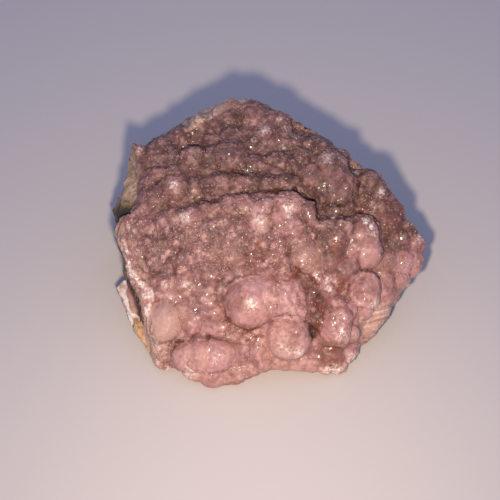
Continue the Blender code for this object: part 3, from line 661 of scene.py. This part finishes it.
def to_block(places, pole, block):
    """How far each corner is outside a flat-faced body in mm, and the way out of it."""
    _, _, half_width, half_height, turn, right, upward, rounding, stands_out, _ = block
    face = right * ACROSS + OUT + upward * UP
    face /= np.linalg.norm(face)
    side = turned(turn)
    side -= (side @ face) * face
    side /= np.linalg.norm(side)
    axes = np.stack([side, np.cross(face, side), face])
    local = (places - (pole - face * (BLOCK_DEPTH - PROUD - stands_out))) @ axes.T
    past = np.abs(local) - (np.array((half_width, half_height, BLOCK_DEPTH)) - rounding)
    outside = np.maximum(past, 0)
    reach = np.linalg.norm(outside, axis=1)
    deepest = (past == past.max(axis=1)[:, None]) * 1.0
    direction = np.where(reach[:, None] > 0, outside, deepest) * np.sign(local)
    direction /= np.linalg.norm(direction, axis=1)[:, None]
    return reach + np.minimum(past.max(axis=1), 0) - rounding, direction @ axes


def onto_lobes(places, surface):
    """For each corner: how far it is outside its body in mm, the way out of it, which body, and its seam.

    The seam is 1 where two bodies meet at a sharp angle, and 0 away from there.
    """
    gap, way, which = np.full(len(places), 99.0), np.zeros_like(places), np.zeros(len(places), dtype=int)
    next_gap, next_way = gap.copy(), way.copy()
    bodies = [(to_ball, lobe) for lobe in LOBES] + [(to_block, block) for block in BLOCKS]
    for at, (measure, body) in enumerate(bodies):
        start = Vector((body[0], 0, 0)) + Vector(UP) * body[1] + Vector(OUT) * HIGH_ABOVE
        pole = surface.ray_cast(start * MM, -Vector(OUT))[0]
        if pole is None:
            continue
        here, here_way = measure(places, np.array(pole) / MM, body)
        nearer = here < gap
        # a flat-faced body has its own edges, and never counts as the next one
        second = ~nearer & (here < next_gap) & (measure is to_ball)
        next_gap = np.where(nearer, gap, np.where(second, here, next_gap))
        next_way = np.where(nearer[:, None], way, np.where(second[:, None], here_way, next_way))
        gap = np.where(nearer, here, gap)
        way = np.where(nearer[:, None], here_way, way)
        which = np.where(nearer, at, which)
    bend = 1 - (way * next_way).sum(axis=1)
    meets = np.clip(1 - (next_gap - gap) / SEAM_WIDTH, 0, 1)
    seam = meets * np.clip((bend - 0.26) / 0.3, 0, 1) * np.clip(1.3 - gap, 0, 1)
    return gap, way, which, seam


crust = welded_copy("calcite_crust", "calcite_crust_skin")
grown_surface = surface_of(crust)
even = crust.modifiers.new("even_mesh", "REMESH")
even.mode = "VOXEL"
even.voxel_size = MESH_STEP * MM
skin_mesh = bpy.data.meshes.new_from_object(crust.evaluated_get(bpy.context.evaluated_depsgraph_get()))
crust.modifiers.clear()
crust.data = skin_mesh
rock_surface = surface_of(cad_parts["matrix_rock"])


def off_rock_of(places):
    """How far each corner is from the rock, in mm."""
    return np.array([rock_surface.find_nearest(Vector(place) * MM)[3] / MM for place in places])


# the side against the rock stays plain
hidden = off_rock_of(corners_of(skin_mesh)[0]) < AGAINST_ROCK
bm = bmesh.new()
bm.from_mesh(skin_mesh)
bm.verts.ensure_lookup_table()
bmesh.ops.dissolve_limit(
    bm, angle_limit=math.radians(8), verts=[vertex for vertex in bm.verts if hidden[vertex.index]],
    edges=[edge for edge in bm.edges if hidden[edge.verts[0].index] and hidden[edge.verts[1].index]],
)
bmesh.ops.triangulate(bm, faces=[face for face in bm.faces if len(face.verts) > 4])
bm.to_mesh(skin_mesh)
bm.free()

# the broken edges, which keep the solid part's form
places, normals = corners_of(skin_mesh)
edges = edges_of(skin_mesh)
outer = np.clip((off_rock_of(places) - CRUST_FADE[0]) / CRUST_FADE[1], 0, 1)
broken, cream = np.zeros(len(places)), np.zeros(len(places))
for point, facing, paleness in BROKEN:
    facing = np.array(facing) / np.linalg.norm(facing)
    beside = np.abs((places - point) @ facing)
    looks = normals @ facing
    here = np.clip((BREAK_REACH - beside) / 0.8, 0, 1) * np.clip((looks - 0.72) / 0.12, 0, 1)
    cream = np.where(here > broken, paleness, cream)
    broken = np.maximum(broken, here)
worn_edge = np.clip(beside_lines(*on_display(places), WORN_EDGE), 0, 1) * outer
free = outer * (1 - broken)

# the solid part's facets go, and then each lobe gets its round form and its sharp valleys
places = eased(places, edges, FACETS_GONE, free)
calm = 1 - spread(*on_display(places), CALM, 0.5)
uneven = UNEVEN_HEIGHT * noise_at(places, UNEVEN_WIDTH, seed=71)
for _ in range(2):
    gap, way, which, seam = onto_lobes(places, grown_surface)
    gap = gap + uneven * (1 - 0.5 * spread(*on_display(places), SMOOTH, 0.4))
    beyond = np.minimum(gap, 0.9) * np.clip((1.8 - gap) / 0.9, 0, 1)  # what is far from any lobe stays
    step = np.where(gap < 0, np.maximum(gap, -DEEPEST), beyond)
    places -= free[:, None] * way * (0.7 * step * calm)[:, None]
places = eased(places, edges, 1, free)
across, up = on_display(places)
block_outlines = [(x, y, max(half_sizes) + 0.8, 1) for x, y, *half_sizes in (block[:4] for block in BLOCKS)]
outlined = spread(across, up, SHARP + block_outlines, 0.3)
places = eased(places, edges, VALLEYS_FILLED, free * (1 - outlined))
across = places[:, 0]  # a view, which follows the moves below, while up stays

# seams, clefts, steps and ribs, whose lines wander a little
seam = onto_lobes(places, grown_surface)[3] * free * calm * spread(across, up, SHARP, 0.3)
places -= normals * (SEAM_DEPTH * seam)[:, None]
wander = WANDER * np.stack([noise_at(places, WANDER_WIDTH, seed) for seed in (31, 47)])
cleft = beside_lines(places[:, 0] + wander[0], places @ UP + wander[1], CLEFTS) * free
cleft *= np.clip(0.75 + 0.9 * noise_at(places, 3.5, seed=59), 0.15, 1.3)
step_move, step_shade_line, step_lip = steps_at(across + 0.8 * wander[0], up + 0.8 * wander[1])
places += free[:, None] * (step_move[:, None] * OUT)
ribs = beside_lines(across + wander[0], up + wander[1], RIBS) * free
places += (ribs + 0.5 * worn_edge * free - cleft)[:, None] * OUT
edge_out = beside_lines(across, up, EDGE_MOVED_OUT) * outer
places += edge_out[:, None] * (0.9 * UP - 0.4 * ACROSS)
for x, y, radius, depth in NOTCHES:
    away = np.hypot(places[:, 0] - x, places @ UP - y) / radius
    places -= free[:, None] * normals * (depth * np.clip(1.3 - away, 0, 1))[:, None]
move_corners(skin_mesh, places)
places, normals = corners_of(skin_mesh)

# where its skin is coarse: least on the round lobes of the front, on breaks and where it is worn
across, up = on_display(places)
behind = np.clip((up - np.interp(across, *zip(*CREST)) + 1.0) / 3.0, 0, 1)
bare = spread(across, up, BARE, 0.25) * (1 - broken)
smooth = spread(across, up, SMOOTH, 0.4)
rougher = spread(across, up, COARSE, 0.5)
freshness_of_each = np.array([lobe[3] for lobe in LOBES] + [block[-1] for block in BLOCKS])
round_balls = np.clip(freshness_of_each[which] * 1.6 - 0.5, 0, 1) * (1 - behind)
coarse_skin = np.maximum((1 - 0.9 * smooth) * (1 - 0.6 * round_balls), rougher)
coarse_skin *= free * (1 - 0.9 * worn_edge)

# how far each corner stands out as part of a lobe (large) and of a fold (seams), before the fine relief
large = ((places - softened(places, edges, ROUND_LOBE)) * normals).sum(axis=1)
seams = ((places - softened(places, edges, ROUND_FOLD)) * normals).sum(axis=1)

# the fine relief: crystals of the skin, coarser facets, grit, ridges and the splinters of the breaks
crystals_here = crystals_at(places, CRYSTAL_WIDTH, 1.3)
crystals = (0.17 + 0.08 * calm - 0.05 * behind) * crystals_here + 0.05
facets = FACET_HEIGHT * crystals_at(places, FACET_WIDTH, 1.0, seed=13) + 0.32
facets *= free * np.maximum(1 - 0.6 * round_balls, rougher) * (1 - bare) * (1 - 0.7 * smooth)
grit = GRIT_HEIGHT * noise_at(places, GRIT_WIDTH, seed=43) * free * (1 - 0.7 * bare) * (1 - 0.7 * worn_edge)
ridges = np.zeros(len(places))
for x, y, radius, high, turn in RIDGED:
    way = turned(turn)
    cover = spread(across, up, [(x, y, radius, high)], 0.4) * free
    here = np.flatnonzero(cover)
    drawn_out = places[here] - 0.7 * np.outer(places[here] @ way, way)
    ridges[here] += cover[here] * (crystals_at(drawn_out, RIDGE_WIDTH, 1.2, seed=61) + 0.4)
splinters = 0.4 * crystals_at(places, SPLINTER_WIDTH, 1.2, seed=29) + 0.2
splinters += 0.3 * noise_at(places, 0.75 * SPLINTER_WIDTH, seed=5, octaves=4)
splinters *= np.maximum(broken, 0.7 * worn_edge) * np.clip((off_rock_of(places) - 0.5) / 0.4, 0, 1)
places = places + normals * (crystals * coarse_skin + facets + grit + ridges + splinters)[:, None]
move_corners(skin_mesh, places)
skin_mesh.shade_smooth()
places, normals = corners_of(skin_mesh)

# painted shade: dark lines in the folds, the seams, the clefts and behind the steps, and the brown stain of
# the crack beside the white calcite
stained_crack = beside_lines(across, up, STAINED_CRACK)
# painted shade along the steps, broken up in places
step_shade_line *= free * np.clip(0.7 + 0.8 * noise_at(places, 2.4, seed=83), 0.1, 1)
shade_and_stain = np.clip(-seams * 1.6 - 0.15, 0, 0.4) + np.clip(0.8 * cleft, 0, 0.8)
shade_and_stain += 0.3 * seam + 0.6 * step_shade_line + stained_crack

# how fresh a pink each place is, mixed over the borders of the lobes, with painted light: the raised tops of
# the lobes, their glassy rims, the lips of the steps, the crests of the ridges and the tips of the crystals
# are painted fresher
patchy = noise_at(places, 2.2, seed=21, octaves=3)
own = softened(freshness_of_each[which][:, None].repeat(3, axis=1), edges, 4)[:, 0]
fresher = [spot for spot in TINTS if spot[3] > 0]
browner = [(x, y, radius, -change) for x, y, radius, change in TINTS if change < 0]
# the glassy rims are painted paler, as light that shines through their thin edges
from_rims = [np.abs(np.hypot(across - x, up - y) - radius) for x, y, radius in RIMS]
rims = np.exp(-(np.min(from_rims, axis=0) / RIM_WIDTH) ** 2) * np.clip(gap * -2 + 1.4, 0, 1)
rims *= np.clip(0.55 + 1.2 * noise_at(places, 3.0, seed=91), 0, 1)
fresh = np.where(gap < 2.5, own, 0.35) - 0.2 * behind + 0.22 * large + 0.16 * patchy + 0.5 * rims
fresh += spread(across, up, fresher, 0.6) - spread(across, up, browner, 0.6) + 0.2 * step_lip
fresh += 0.5 * ridges + 0.15 * (crystals_here + 0.44) * coarse_skin

# iron stain; paler calcite with painted highlights, on raised tops and rims as well; paler crystal tips,
# partly painted light; and the colours of the breaks
in_front = np.clip((normals @ OUT) * 4, 0, 1)
rust = spread(across, up, RUST, 0.8) * np.clip(0.8 + 0.9 * patchy, 0, 1.2)
rust = np.clip(rust + np.clip(-large * 0.5 - 0.15, 0, 0.35), 0, 1) * in_front
pale_and_highlit = spread(across, up, PALE_AND_HIGHLIGHTS, 0.8) + 0.65 * ribs + np.clip(large * 0.30 - 0.05, 0, 0.25) + 0.6 * rims
pale_and_highlit = np.clip(pale_and_highlit, 0, 1) * in_front
banded = spread(across, up, BANDED, 0.4)
cream = np.where(banded > broken, 1.0, np.where(worn_edge > broken, 0.5, cream))
section = np.maximum(np.maximum(broken, worn_edge), banded)
depth = np.where(banded > 0.2, up - 0.25 * across, off_rock_of(places)) / 8
tips = np.clip((crystals_here + 0.4) / 0.3, 0, 1) * coarse_skin * (1 - 0.5 * behind)

zone_table = np.stack([np.clip(fresh, 0, 1), rust, pale_and_highlit, section], axis=1)
# first the painted shade with the crack's stain, then how bare, how coarse and how cream it is
shade_and_growth_table = np.stack([np.clip(shade_and_stain * in_front, 0, 1), bare, coarse_skin, cream], axis=1)
paint(skin_mesh, "zones", zone_table)
paint(skin_mesh, "growth", shade_and_growth_table)
paint(skin_mesh, "fibres", np.stack([depth, tips], axis=1))

# Cobaltoan calcite: pearly, slightly translucent pink, brown where it is less fresh. Its hue drifts from
# tan to rose over some 5 mm, and it is clouded over some 2 mm. Painted shade darkens its crevices, and
# painted light brightens its raised tops, rims and highlights.
RUST_COLOUR = "#84493a"
# the dark brown painted as shade into crevices, folds, seams and steps, and into the brown crack
CREVICE_SHADE_COLOUR = "#4c2b22"


def calcite_colour(tree, where, freshness, bareness):
    """Colour of the pink calcite: from brown to its freshest pink, lighter where light is painted in, and
    peach where it is bare.
    """
    pinks = add(tree, "ValToRGB", {"stops": [
        (0.0, "#654434"), (0.30, "#875f56"), (0.60, "#a47a73"), (0.85, "#b89492"), (1.0, "#c6a8a6"),
    ]}, freshness)
    drift = add(tree, "TexNoise", Vector=where, Scale=1 / (5.3 * MM), Detail=3.0, Roughness=0.55)
    hues = add(tree, "ValToRGB", {"stops": [
        (0.34, "#b38176"), (0.46, "#b17b74"), (0.58, "#af7779"), (0.70, "#bb868a"),
    ]}, drift)
    # the brown parts take up less of the drifting hue
    share = add(tree, "Math", "MINIMUM", add(tree, "Math", "MULTIPLY_ADD", freshness, 2.4, 0.25), 0.6)
    tinted = add(tree, "Mix", {"data_type": "RGBA", "blend_type": "COLOR"}, share, pinks, hues)
    return add(tree, "Mix", COLOURS, bareness, tinted, "#c49d94")


def ragged(tree, weight, threshold):
    """A weight from 0 to 1, given a ragged edge by a threshold pattern."""
    total = add(tree, "Math", "ADD", weight, threshold)
    return add(tree, "Math", {"operation": "MULTIPLY", "use_clamp": True}, total, weight)


def tilted_normal(tree, normal, cells, strength):
    """The normal, leaning its own way in each crystal's cell."""
    tilts = add(tree, "VectorMath", "SUBTRACT", cells, (0.5, 0.5, 0.5))
    leaning = add(tree, "VectorMath", "ADD", add(tree, "VectorMath", "SCALE", tilts, strength), normal)
    return add(tree, "VectorMath", "NORMALIZE", leaning)


# The skin's real crystals are mostly 0.1 to 0.3 mm wide. They are drawn 0.5 mm and 1 mm wide, and the
# grain and the fibres 0.6 mm, so that they show.
pink_calcite, tree = new_finish("cobaltoan_calcite_skin")
geometry = add(tree, "NewGeometry")
where = geometry.outputs["Position"]
fresh, rust, pale_and_highlit, on_break = painted(tree, "zones")
shade_and_stain, bare, coarse_here, creamy = painted(tree, "growth")
depth, tips, _, _ = painted(tree, "fibres")
cloud = add(tree, "TexNoise", Vector=where, Scale=1 / (2.4 * MM), Detail=4.0, Roughness=0.6)
grain = add(tree, "TexNoise", Vector=where, Scale=1 / (0.6 * MM), Detail=3.0, Roughness=0.65)
cells = add(tree, "TexVoronoi", Vector=where, Scale=1 / (0.5 * MM)).outputs["Color"]
larger_cells = add(tree, "TexVoronoi", Vector=where, Scale=1 / (0.95 * MM)).outputs["Color"]
own_shade, own_clearness, _ = add(tree, "SeparateColor", None, larger_cells).outputs

# clouds and the crystals' own shades vary the pink, and rust covers it in ragged patches
varied = add(
    tree, "Math", "ADD", add(tree, "Math", "MULTIPLY_ADD", cloud, 0.8, -0.4),
    add(tree, "Math", "MULTIPLY_ADD", own_shade, 0.28, -0.14),
)
freshness = add(tree, "Math", {"operation": "ADD", "use_clamp": True}, varied, fresh)
pink = calcite_colour(tree, where, freshness, bare)
stained = ragged(tree, rust, add(tree, "Math", "MULTIPLY_ADD", cloud, 1.6, -0.45))
rusty = add(tree, "Mix", COLOURS, stained, pink, RUST_COLOUR)

# the tips of the crystals are paler, partly as their own calcite and partly as painted light on their raised
# corners, and rubbed or coarse ones and painted highlights nearly white
in_cloud = add(tree, "Math", "MULTIPLY_ADD", cloud, 2.4, -0.5)
tipped = add(tree, "Math", {"operation": "MULTIPLY", "use_clamp": True}, tips, in_cloud)
specked = add(tree, "Mix", COLOURS, tipped, rusty, "#cfa39b")
paler_and_highlit = ragged(tree, pale_and_highlit, add(tree, "Math", "MULTIPLY_ADD", grain, 4.0, -2.3))
whitened = add(tree, "Mix", COLOURS, paler_and_highlit, specked, "#f4e5de")

# the broken edges show bands of cream and pink across the fibres, and duller ones where they are worn
across_fibres = add(
    tree, "Math", "ADD", add(tree, "Math", "MULTIPLY", depth, 9.0),
    add(tree, "Math", "MULTIPLY", cloud, 1.1),
)
band = add(
    tree, "TexNoise", {"noise_dimensions": "1D"}, W=across_fibres, Scale=1.0, Detail=3.0, Roughness=0.6
)
fresh_bands = add(tree, "ValToRGB", {"stops": [
    (0.30, "#a37365"), (0.44, "#c49a8d"), (0.56, "#dab8a9"), (0.70, "#ead6c6"),
]}, band)
worn_bands = add(tree, "ValToRGB", {"stops": [(0.32, "#7c5c4c"), (0.5, "#a88873"), (0.68, "#cfb19a")]}, band)
edge_colour = add(tree, "Mix", COLOURS, creamy, worn_bands, fresh_bands)
sectioned = add(tree, "Mix", COLOURS, on_break, whitened, edge_colour)
# painted shade: crevices, folds, seams and step lines are darkened towards dark brown
crevice_shaded = add(tree, "Mix", COLOURS, shade_and_stain, sectioned, CREVICE_SHADE_COLOUR)

# fibres run up the display face
stretched = add(tree, "VectorMath", "MULTIPLY", where, (1.0, 0.3, 0.3))
fibre = add(tree, "TexNoise", Vector=stretched, Scale=1 / (0.67 * MM), Detail=2.0, Roughness=0.5)
light_and_dark = add(
    tree, "Math", "ADD", add(tree, "Math", "MULTIPLY_ADD", grain, 0.48, 0.56),
    add(tree, "Math", "MULTIPLY", fibre, 0.4),
)
grainy = add(tree, "VectorMath", "SCALE", crevice_shaded, light_and_dark)

# only some crystals are clear enough to flash, mostly in clusters, and none in crevices or where it is bare
flash = add(tree, "Math", {"operation": "MULTIPLY_ADD", "use_clamp": True}, own_clearness, 4.0, -1.6)
clusters = add(tree, "TexNoise", Vector=where, Scale=1 / (3.3 * MM), Detail=1.0)
clustered = add(tree, "Math", {"operation": "MULTIPLY_ADD", "use_clamp": True}, clusters, 6.0, -3.2)
clear = add(tree, "Math", "MAXIMUM", pale_and_highlit, add(tree, "Math", "MULTIPLY_ADD", clustered, 0.8, 0.28))
dull = add(tree, "Math", "MAXIMUM", shade_and_stain, bare)
shown = add(tree, "Math", "MULTIPLY", clear, add(tree, "Math", "MULTIPLY_ADD", dull, -0.9, 0.9))
coat = add(tree, "Math", "MULTIPLY", flash, shown)

# the broken edges are splintery
splintered = add(tree, "Bump", Height=band, Strength=on_break, Distance=0.6 * MM)
rough_break = add(tree, "Bump", Height=cloud, Strength=on_break, Distance=1.2 * MM, Normal=splintered)
skin_tilt = add(tree, "Math", "MULTIPLY_ADD", coarse_here, 0.22, 0.2)
flash_tilt = add(tree, "Math", "MULTIPLY_ADD", coarse_here, 0.65, 0.2)
# its gloss is cooler than the pink under it
shader = add(
    tree, "BsdfPrincipled", Base_Color=grainy, Roughness=0.5, IOR=1.6, Specular_IOR_Level=0.42,
    Specular_Tint="#daedff", Subsurface_Weight=0.25, Subsurface_Scale=1.2 * MM,
    Subsurface_Radius=(1.0, 0.45, 0.35), Coat_Weight=coat, Coat_Roughness=0.14, Coat_IOR=1.66,
    Normal=tilted_normal(tree, rough_break, cells, skin_tilt),
    Coat_Normal=tilted_normal(tree, geometry.outputs["Normal"], cells, flash_tilt),
)
add(tree, "OutputMaterial", Surface=shader)
give_finish(crust, pink_calcite)

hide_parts("calcite_crust")
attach(crust, "root")

# ---------------------------------------------------------------------------------------------
# Druse. The skin of tiny calcite rhombs on the crust. They stand close together with their
# corners out, coarse over the back and the middle, and finest on the lobes of the front.
# ---------------------------------------------------------------------------------------------

# How many crystals stand clear of the skin, and their usual edge in mm. The real ones are two or three
# times finer, and there are many more. These are as coarse as they need to be to glint.
DRUSE = {"druse_behind_crest": (2400, 0.40), "druse_of_middle": (1400, 0.42), "druse_of_front": (700, 0.34)}
FOOT_OF_MIDDLE = 6.5  # mm up the display face, where the middle meets the lobes of the front
FLATTENED = (1.12, 1.12, 0.82)  # a cube, flattened along its diagonal, is calcite's cleavage rhomb
LEAN = 0.55  # how far the crystals lean from straight out
SUNK = 0.27  # of its edge, how deep each sits in the skin
SIZES = (-0.1, 0.30)  # their sizes' middle and spread, as powers of e
FRESHER = (0.06, 0.10)  # how much fresher than the skin they are, and how much that varies


def calcite_rhombs(name, seats, normals, sizes, zones, growth, chance):
    """One mesh of closed rhombs, each with a corner along its normal. Sizes are edges in mm."""
    cube = np.array([(x, y, z) for x in (-1, 1) for y in (-1, 1) for z in (-1, 1)]) / 2
    stand = np.array(Vector((1, 1, 1)).rotation_difference(Vector((0, 0, 1))).to_matrix())
    rhomb = cube @ stand.T * np.array(FLATTENED)
    faces = np.array([(0, 1, 3, 2), (4, 6, 7, 5), (0, 4, 5, 1), (2, 3, 7, 6), (0, 2, 6, 4), (1, 5, 7, 3)])
    lean = normals + chance.normal(0, LEAN, normals.shape)
    lean /= np.linalg.norm(lean, axis=1)[:, None]
    side = np.cross(lean, chance.normal(0, 1, normals.shape))
    side /= np.linalg.norm(side, axis=1)[:, None]
    axes = np.stack([side, np.cross(lean, side), lean], axis=2)
    corners = seats[:, None, :] + np.einsum("nij,kj->nki", axes, rhomb) * sizes[:, None, None]
    count = len(seats)
    mesh = bpy.data.meshes.new(name)
    mesh.vertices.add(count * 8)
    move_corners(mesh, corners.reshape(-1, 3))
    mesh.loops.add(count * 24)
    mesh.loops.foreach_set("vertex_index", (faces[None] + np.arange(count)[:, None, None] * 8).ravel())
    mesh.polygons.add(count * 6)
    mesh.polygons.foreach_set("loop_start", np.arange(count * 6) * 4)
    mesh.update(calc_edges=True)
    zones[:, 0] += chance.normal(*FRESHER, count)
    paint(mesh, "zones", np.repeat(zones, 8, axis=0))
    paint(mesh, "growth", np.repeat(growth, 8, axis=0))
    item = bpy.data.objects.new(name, mesh)
    bpy.context.scene.collection.objects.link(item)
    return item


# The same calcite as single crystals: clearer and glassier than the skin under them, with a cool gloss.
glitter, tree = new_finish("calcite_rhombs")
where = add(tree, "NewGeometry").outputs["Position"]
fresh, rust, pale_and_highlit, _ = painted(tree, "zones")
shade_and_stain, bare, _, _ = painted(tree, "growth")
pink = calcite_colour(tree, where, fresh, bare)
stained = add(tree, "Math", "MULTIPLY", rust, 0.8)
rusty = add(tree, "Mix", COLOURS, stained, pink, RUST_COLOUR)
# the crystals take the skin's painted crevice shade
crevice_shaded = add(tree, "Mix", COLOURS, shade_and_stain, rusty, CREVICE_SHADE_COLOUR)
# the crystals also take the skin's paler places and painted highlights
paler_and_highlit = add(tree, "Math", "MULTIPLY_ADD", pale_and_highlit, 0.6, 0.12)
shader = add(
    tree, "BsdfPrincipled", Base_Color=add(tree, "Mix", COLOURS, paler_and_highlit, crevice_shaded, "#d9bdb4"), Roughness=0.16,
    IOR=1.66, Specular_Tint="#cbe5ff",
)
add(tree, "OutputMaterial", Surface=shader)

# the crystals are scattered over the skin's triangles, most where it is coarse
chance = np.random.default_rng(11)
skin_mesh.calc_loop_triangles()
triangles = np.empty(len(skin_mesh.loop_triangles) * 3, dtype=int)
skin_mesh.loop_triangles.foreach_get("vertices", triangles)
triangles = triangles.reshape(-1, 3)
a, b, c = (places[triangles[:, at]] for at in range(3))
area = np.linalg.norm(np.cross(b - a, c - a), axis=1) / 2
mid_across, mid_up = on_display((a + b + c) / 3)
mid_coarse = (coarse_skin ** 1.5)[triangles].mean(axis=1)
is_behind = mid_up > np.interp(mid_across, *zip(*CREST))
regions = {
    "druse_behind_crest": is_behind,
    "druse_of_middle": ~is_behind & (mid_up > FOOT_OF_MIDDLE),
    "druse_of_front": ~is_behind & (mid_up <= FOOT_OF_MIDDLE),
}
for name, (count, edge) in DRUSE.items():
    weight = area * mid_coarse * regions[name]
    picked = chance.choice(len(triangles), count, p=weight / weight.sum())
    u, v = np.sqrt(chance.random(count)), chance.random(count)
    share = np.stack([1 - u, u * (1 - v), u * v], axis=1)
    corner = triangles[picked]
    seats = (places[corner] * share[:, :, None]).sum(axis=1)
    facing = (normals[corner] * share[:, :, None]).sum(axis=1)
    facing /= np.linalg.norm(facing, axis=1)[:, None]
    sizes = edge * np.exp(chance.normal(*SIZES, count))
    druse_piece = calcite_rhombs(
        name, seats - SUNK * sizes[:, None] * facing, facing, sizes, zone_table[corner[:, 0]],
        shade_and_growth_table[corner[:, 0]], chance,
    )
    give_finish(druse_piece, glitter)
    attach(druse_piece, "root")

# ---------------------------------------------------------------------------------------------
# White calcite. A small chunk of coarse white calcite left on the side of the rock, across a
# brown crack from the crust. It is cleaved into stepped rhombs, and light passes its edges.
# ---------------------------------------------------------------------------------------------

CHUNK_GRAIN = 0.36  # mm, the longest edge left in its mesh
CLEAVAGE_STEP, LEDGE_DEPTH = 0.7, 0.4  # mm, between its cleavage ledges, and how deep they are
RHOMB_WIDTH, RHOMB_HEIGHT = 1.8, 0.45  # mm
CLEAVAGES = [(0.75, -0.5, 0.43), (-0.35, -0.85, 0.4), (-0.1, 0.25, 0.96)]  # the ways that they look

chunk = welded_copy("white_calcite", "white_calcite_chunk")
refine(chunk, CHUNK_GRAIN, 6)
places, normals = corners_of(chunk.data)
drop = np.zeros(len(places))
for plane in CLEAVAGES:
    # the surface falls back to the next cleavage plane below it
    along = places @ plane / CLEAVAGE_STEP + 0.8 * noise_at(places, 2.5, seed=7, octaves=1)
    drop = np.maximum(drop, (along - np.floor(along)) * np.abs(normals @ plane))
rhombs = RHOMB_HEIGHT * crystals_at(places, RHOMB_WIDTH, 1.4, seed=17) + 0.2
move_corners(chunk.data, places + normals * (rhombs - LEDGE_DEPTH * drop)[:, None])

# Coarse calcite: vitreous on its cleavages and milky inside, white with cream and brown clouds.
milky_calcite, tree = new_finish("milky_calcite")
geometry = add(tree, "NewGeometry")
where = geometry.outputs["Position"]
clouds = add(tree, "TexNoise", Vector=where, Scale=1 / (2.2 * MM), Detail=4.0)
milk = add(tree, "ValToRGB", {"stops": [
    (0.34, "#b08c7e"), (0.44, "#d2b7ac"), (0.54, "#ead8cf"), (0.66, "#f8f1ec"),
]}, clouds)
cells = add(tree, "TexVoronoi", Vector=where, Scale=1 / (0.6 * MM)).outputs["Color"]
shader = add(
    tree, "BsdfPrincipled", Base_Color=milk, Roughness=0.28, IOR=1.66, Subsurface_Weight=0.3,
    Subsurface_Scale=1.5 * MM, Subsurface_Radius=(1.0, 0.9, 0.8),
    Normal=tilted_normal(tree, geometry.outputs["Normal"], cells, 0.7),
)
add(tree, "OutputMaterial", Surface=shader)
give_finish(chunk, milky_calcite)

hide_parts("white_calcite")
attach(chunk, "root")

# ---------------------------------------------------------------------------------------------
# Stage. A pale floor under a warm lamp from the front and a cool, even room light.
# ---------------------------------------------------------------------------------------------

VIEW_HEIGHT = 50  # degrees above the ground
VIEW_DISTANCE = 0.45

bpy.ops.mesh.primitive_plane_add(size=1.6)
floor = bpy.context.object
floor.name = "floor"
# Matt board: pale, nearly neutral and without gloss.
board, tree = new_finish("pale_matt_board")
add(tree, "OutputMaterial", Surface=add(tree, "BsdfPrincipled", Base_Color="#cdc9cb", Roughness=0.9))
give_finish(floor, board)


def from_specimen(azimuth, elevation, distance):
    """A place seen from the specimen, in metres. Azimuth 0 is the front."""
    a, e = math.radians(azimuth), math.radians(elevation)
    return Vector((math.sin(a) * math.cos(e), -math.cos(a) * math.cos(e), math.sin(e))) * distance


lamp = bpy.data.lights.new("warm_lamp", "AREA")
lamp.shape = "DISK"
lamp.size = 0.014  # metres, small enough for glints
lamp.spread = math.radians(100)
lamp.energy = 0.155
lamp.color = (1.0, 0.80, 0.56)
warm = bpy.data.objects.new("warm_lamp", lamp)
warm.location = from_specimen(-3, 45.5, 0.24) + Vector((0, 0.005, 0.012))
warm.rotation_euler = from_specimen(-3, 50.5, 1).to_track_quat("Z", "Y").to_euler()
bpy.context.scene.collection.objects.link(warm)

room = bpy.data.worlds.new("cool_room")
room.use_nodes = True
light = room.node_tree.nodes["Background"]
light.inputs["Color"].default_value = (0.60, 0.65, 1.0, 1)
light.inputs["Strength"].default_value = 0.48
bpy.context.scene.world = room
bpy.context.scene.view_settings.view_transform = "Standard"

lens = bpy.data.cameras.new("camera")
lens.sensor_width = 36
lens.lens = 147.3
lens.clip_start = 0.01
camera = bpy.data.objects.new("camera", lens)
aim = (Vector((-4.4, 0, 0)) + 10.8 * Vector(UP) + 15 * Vector(OUT)) * MM
camera.location = aim + from_specimen(0, VIEW_HEIGHT, VIEW_DISTANCE)
camera.rotation_euler = from_specimen(0, VIEW_HEIGHT, 1).to_track_quat("Z", "Y").to_euler()
bpy.context.scene.collection.objects.link(camera)
bpy.context.scene.camera = camera
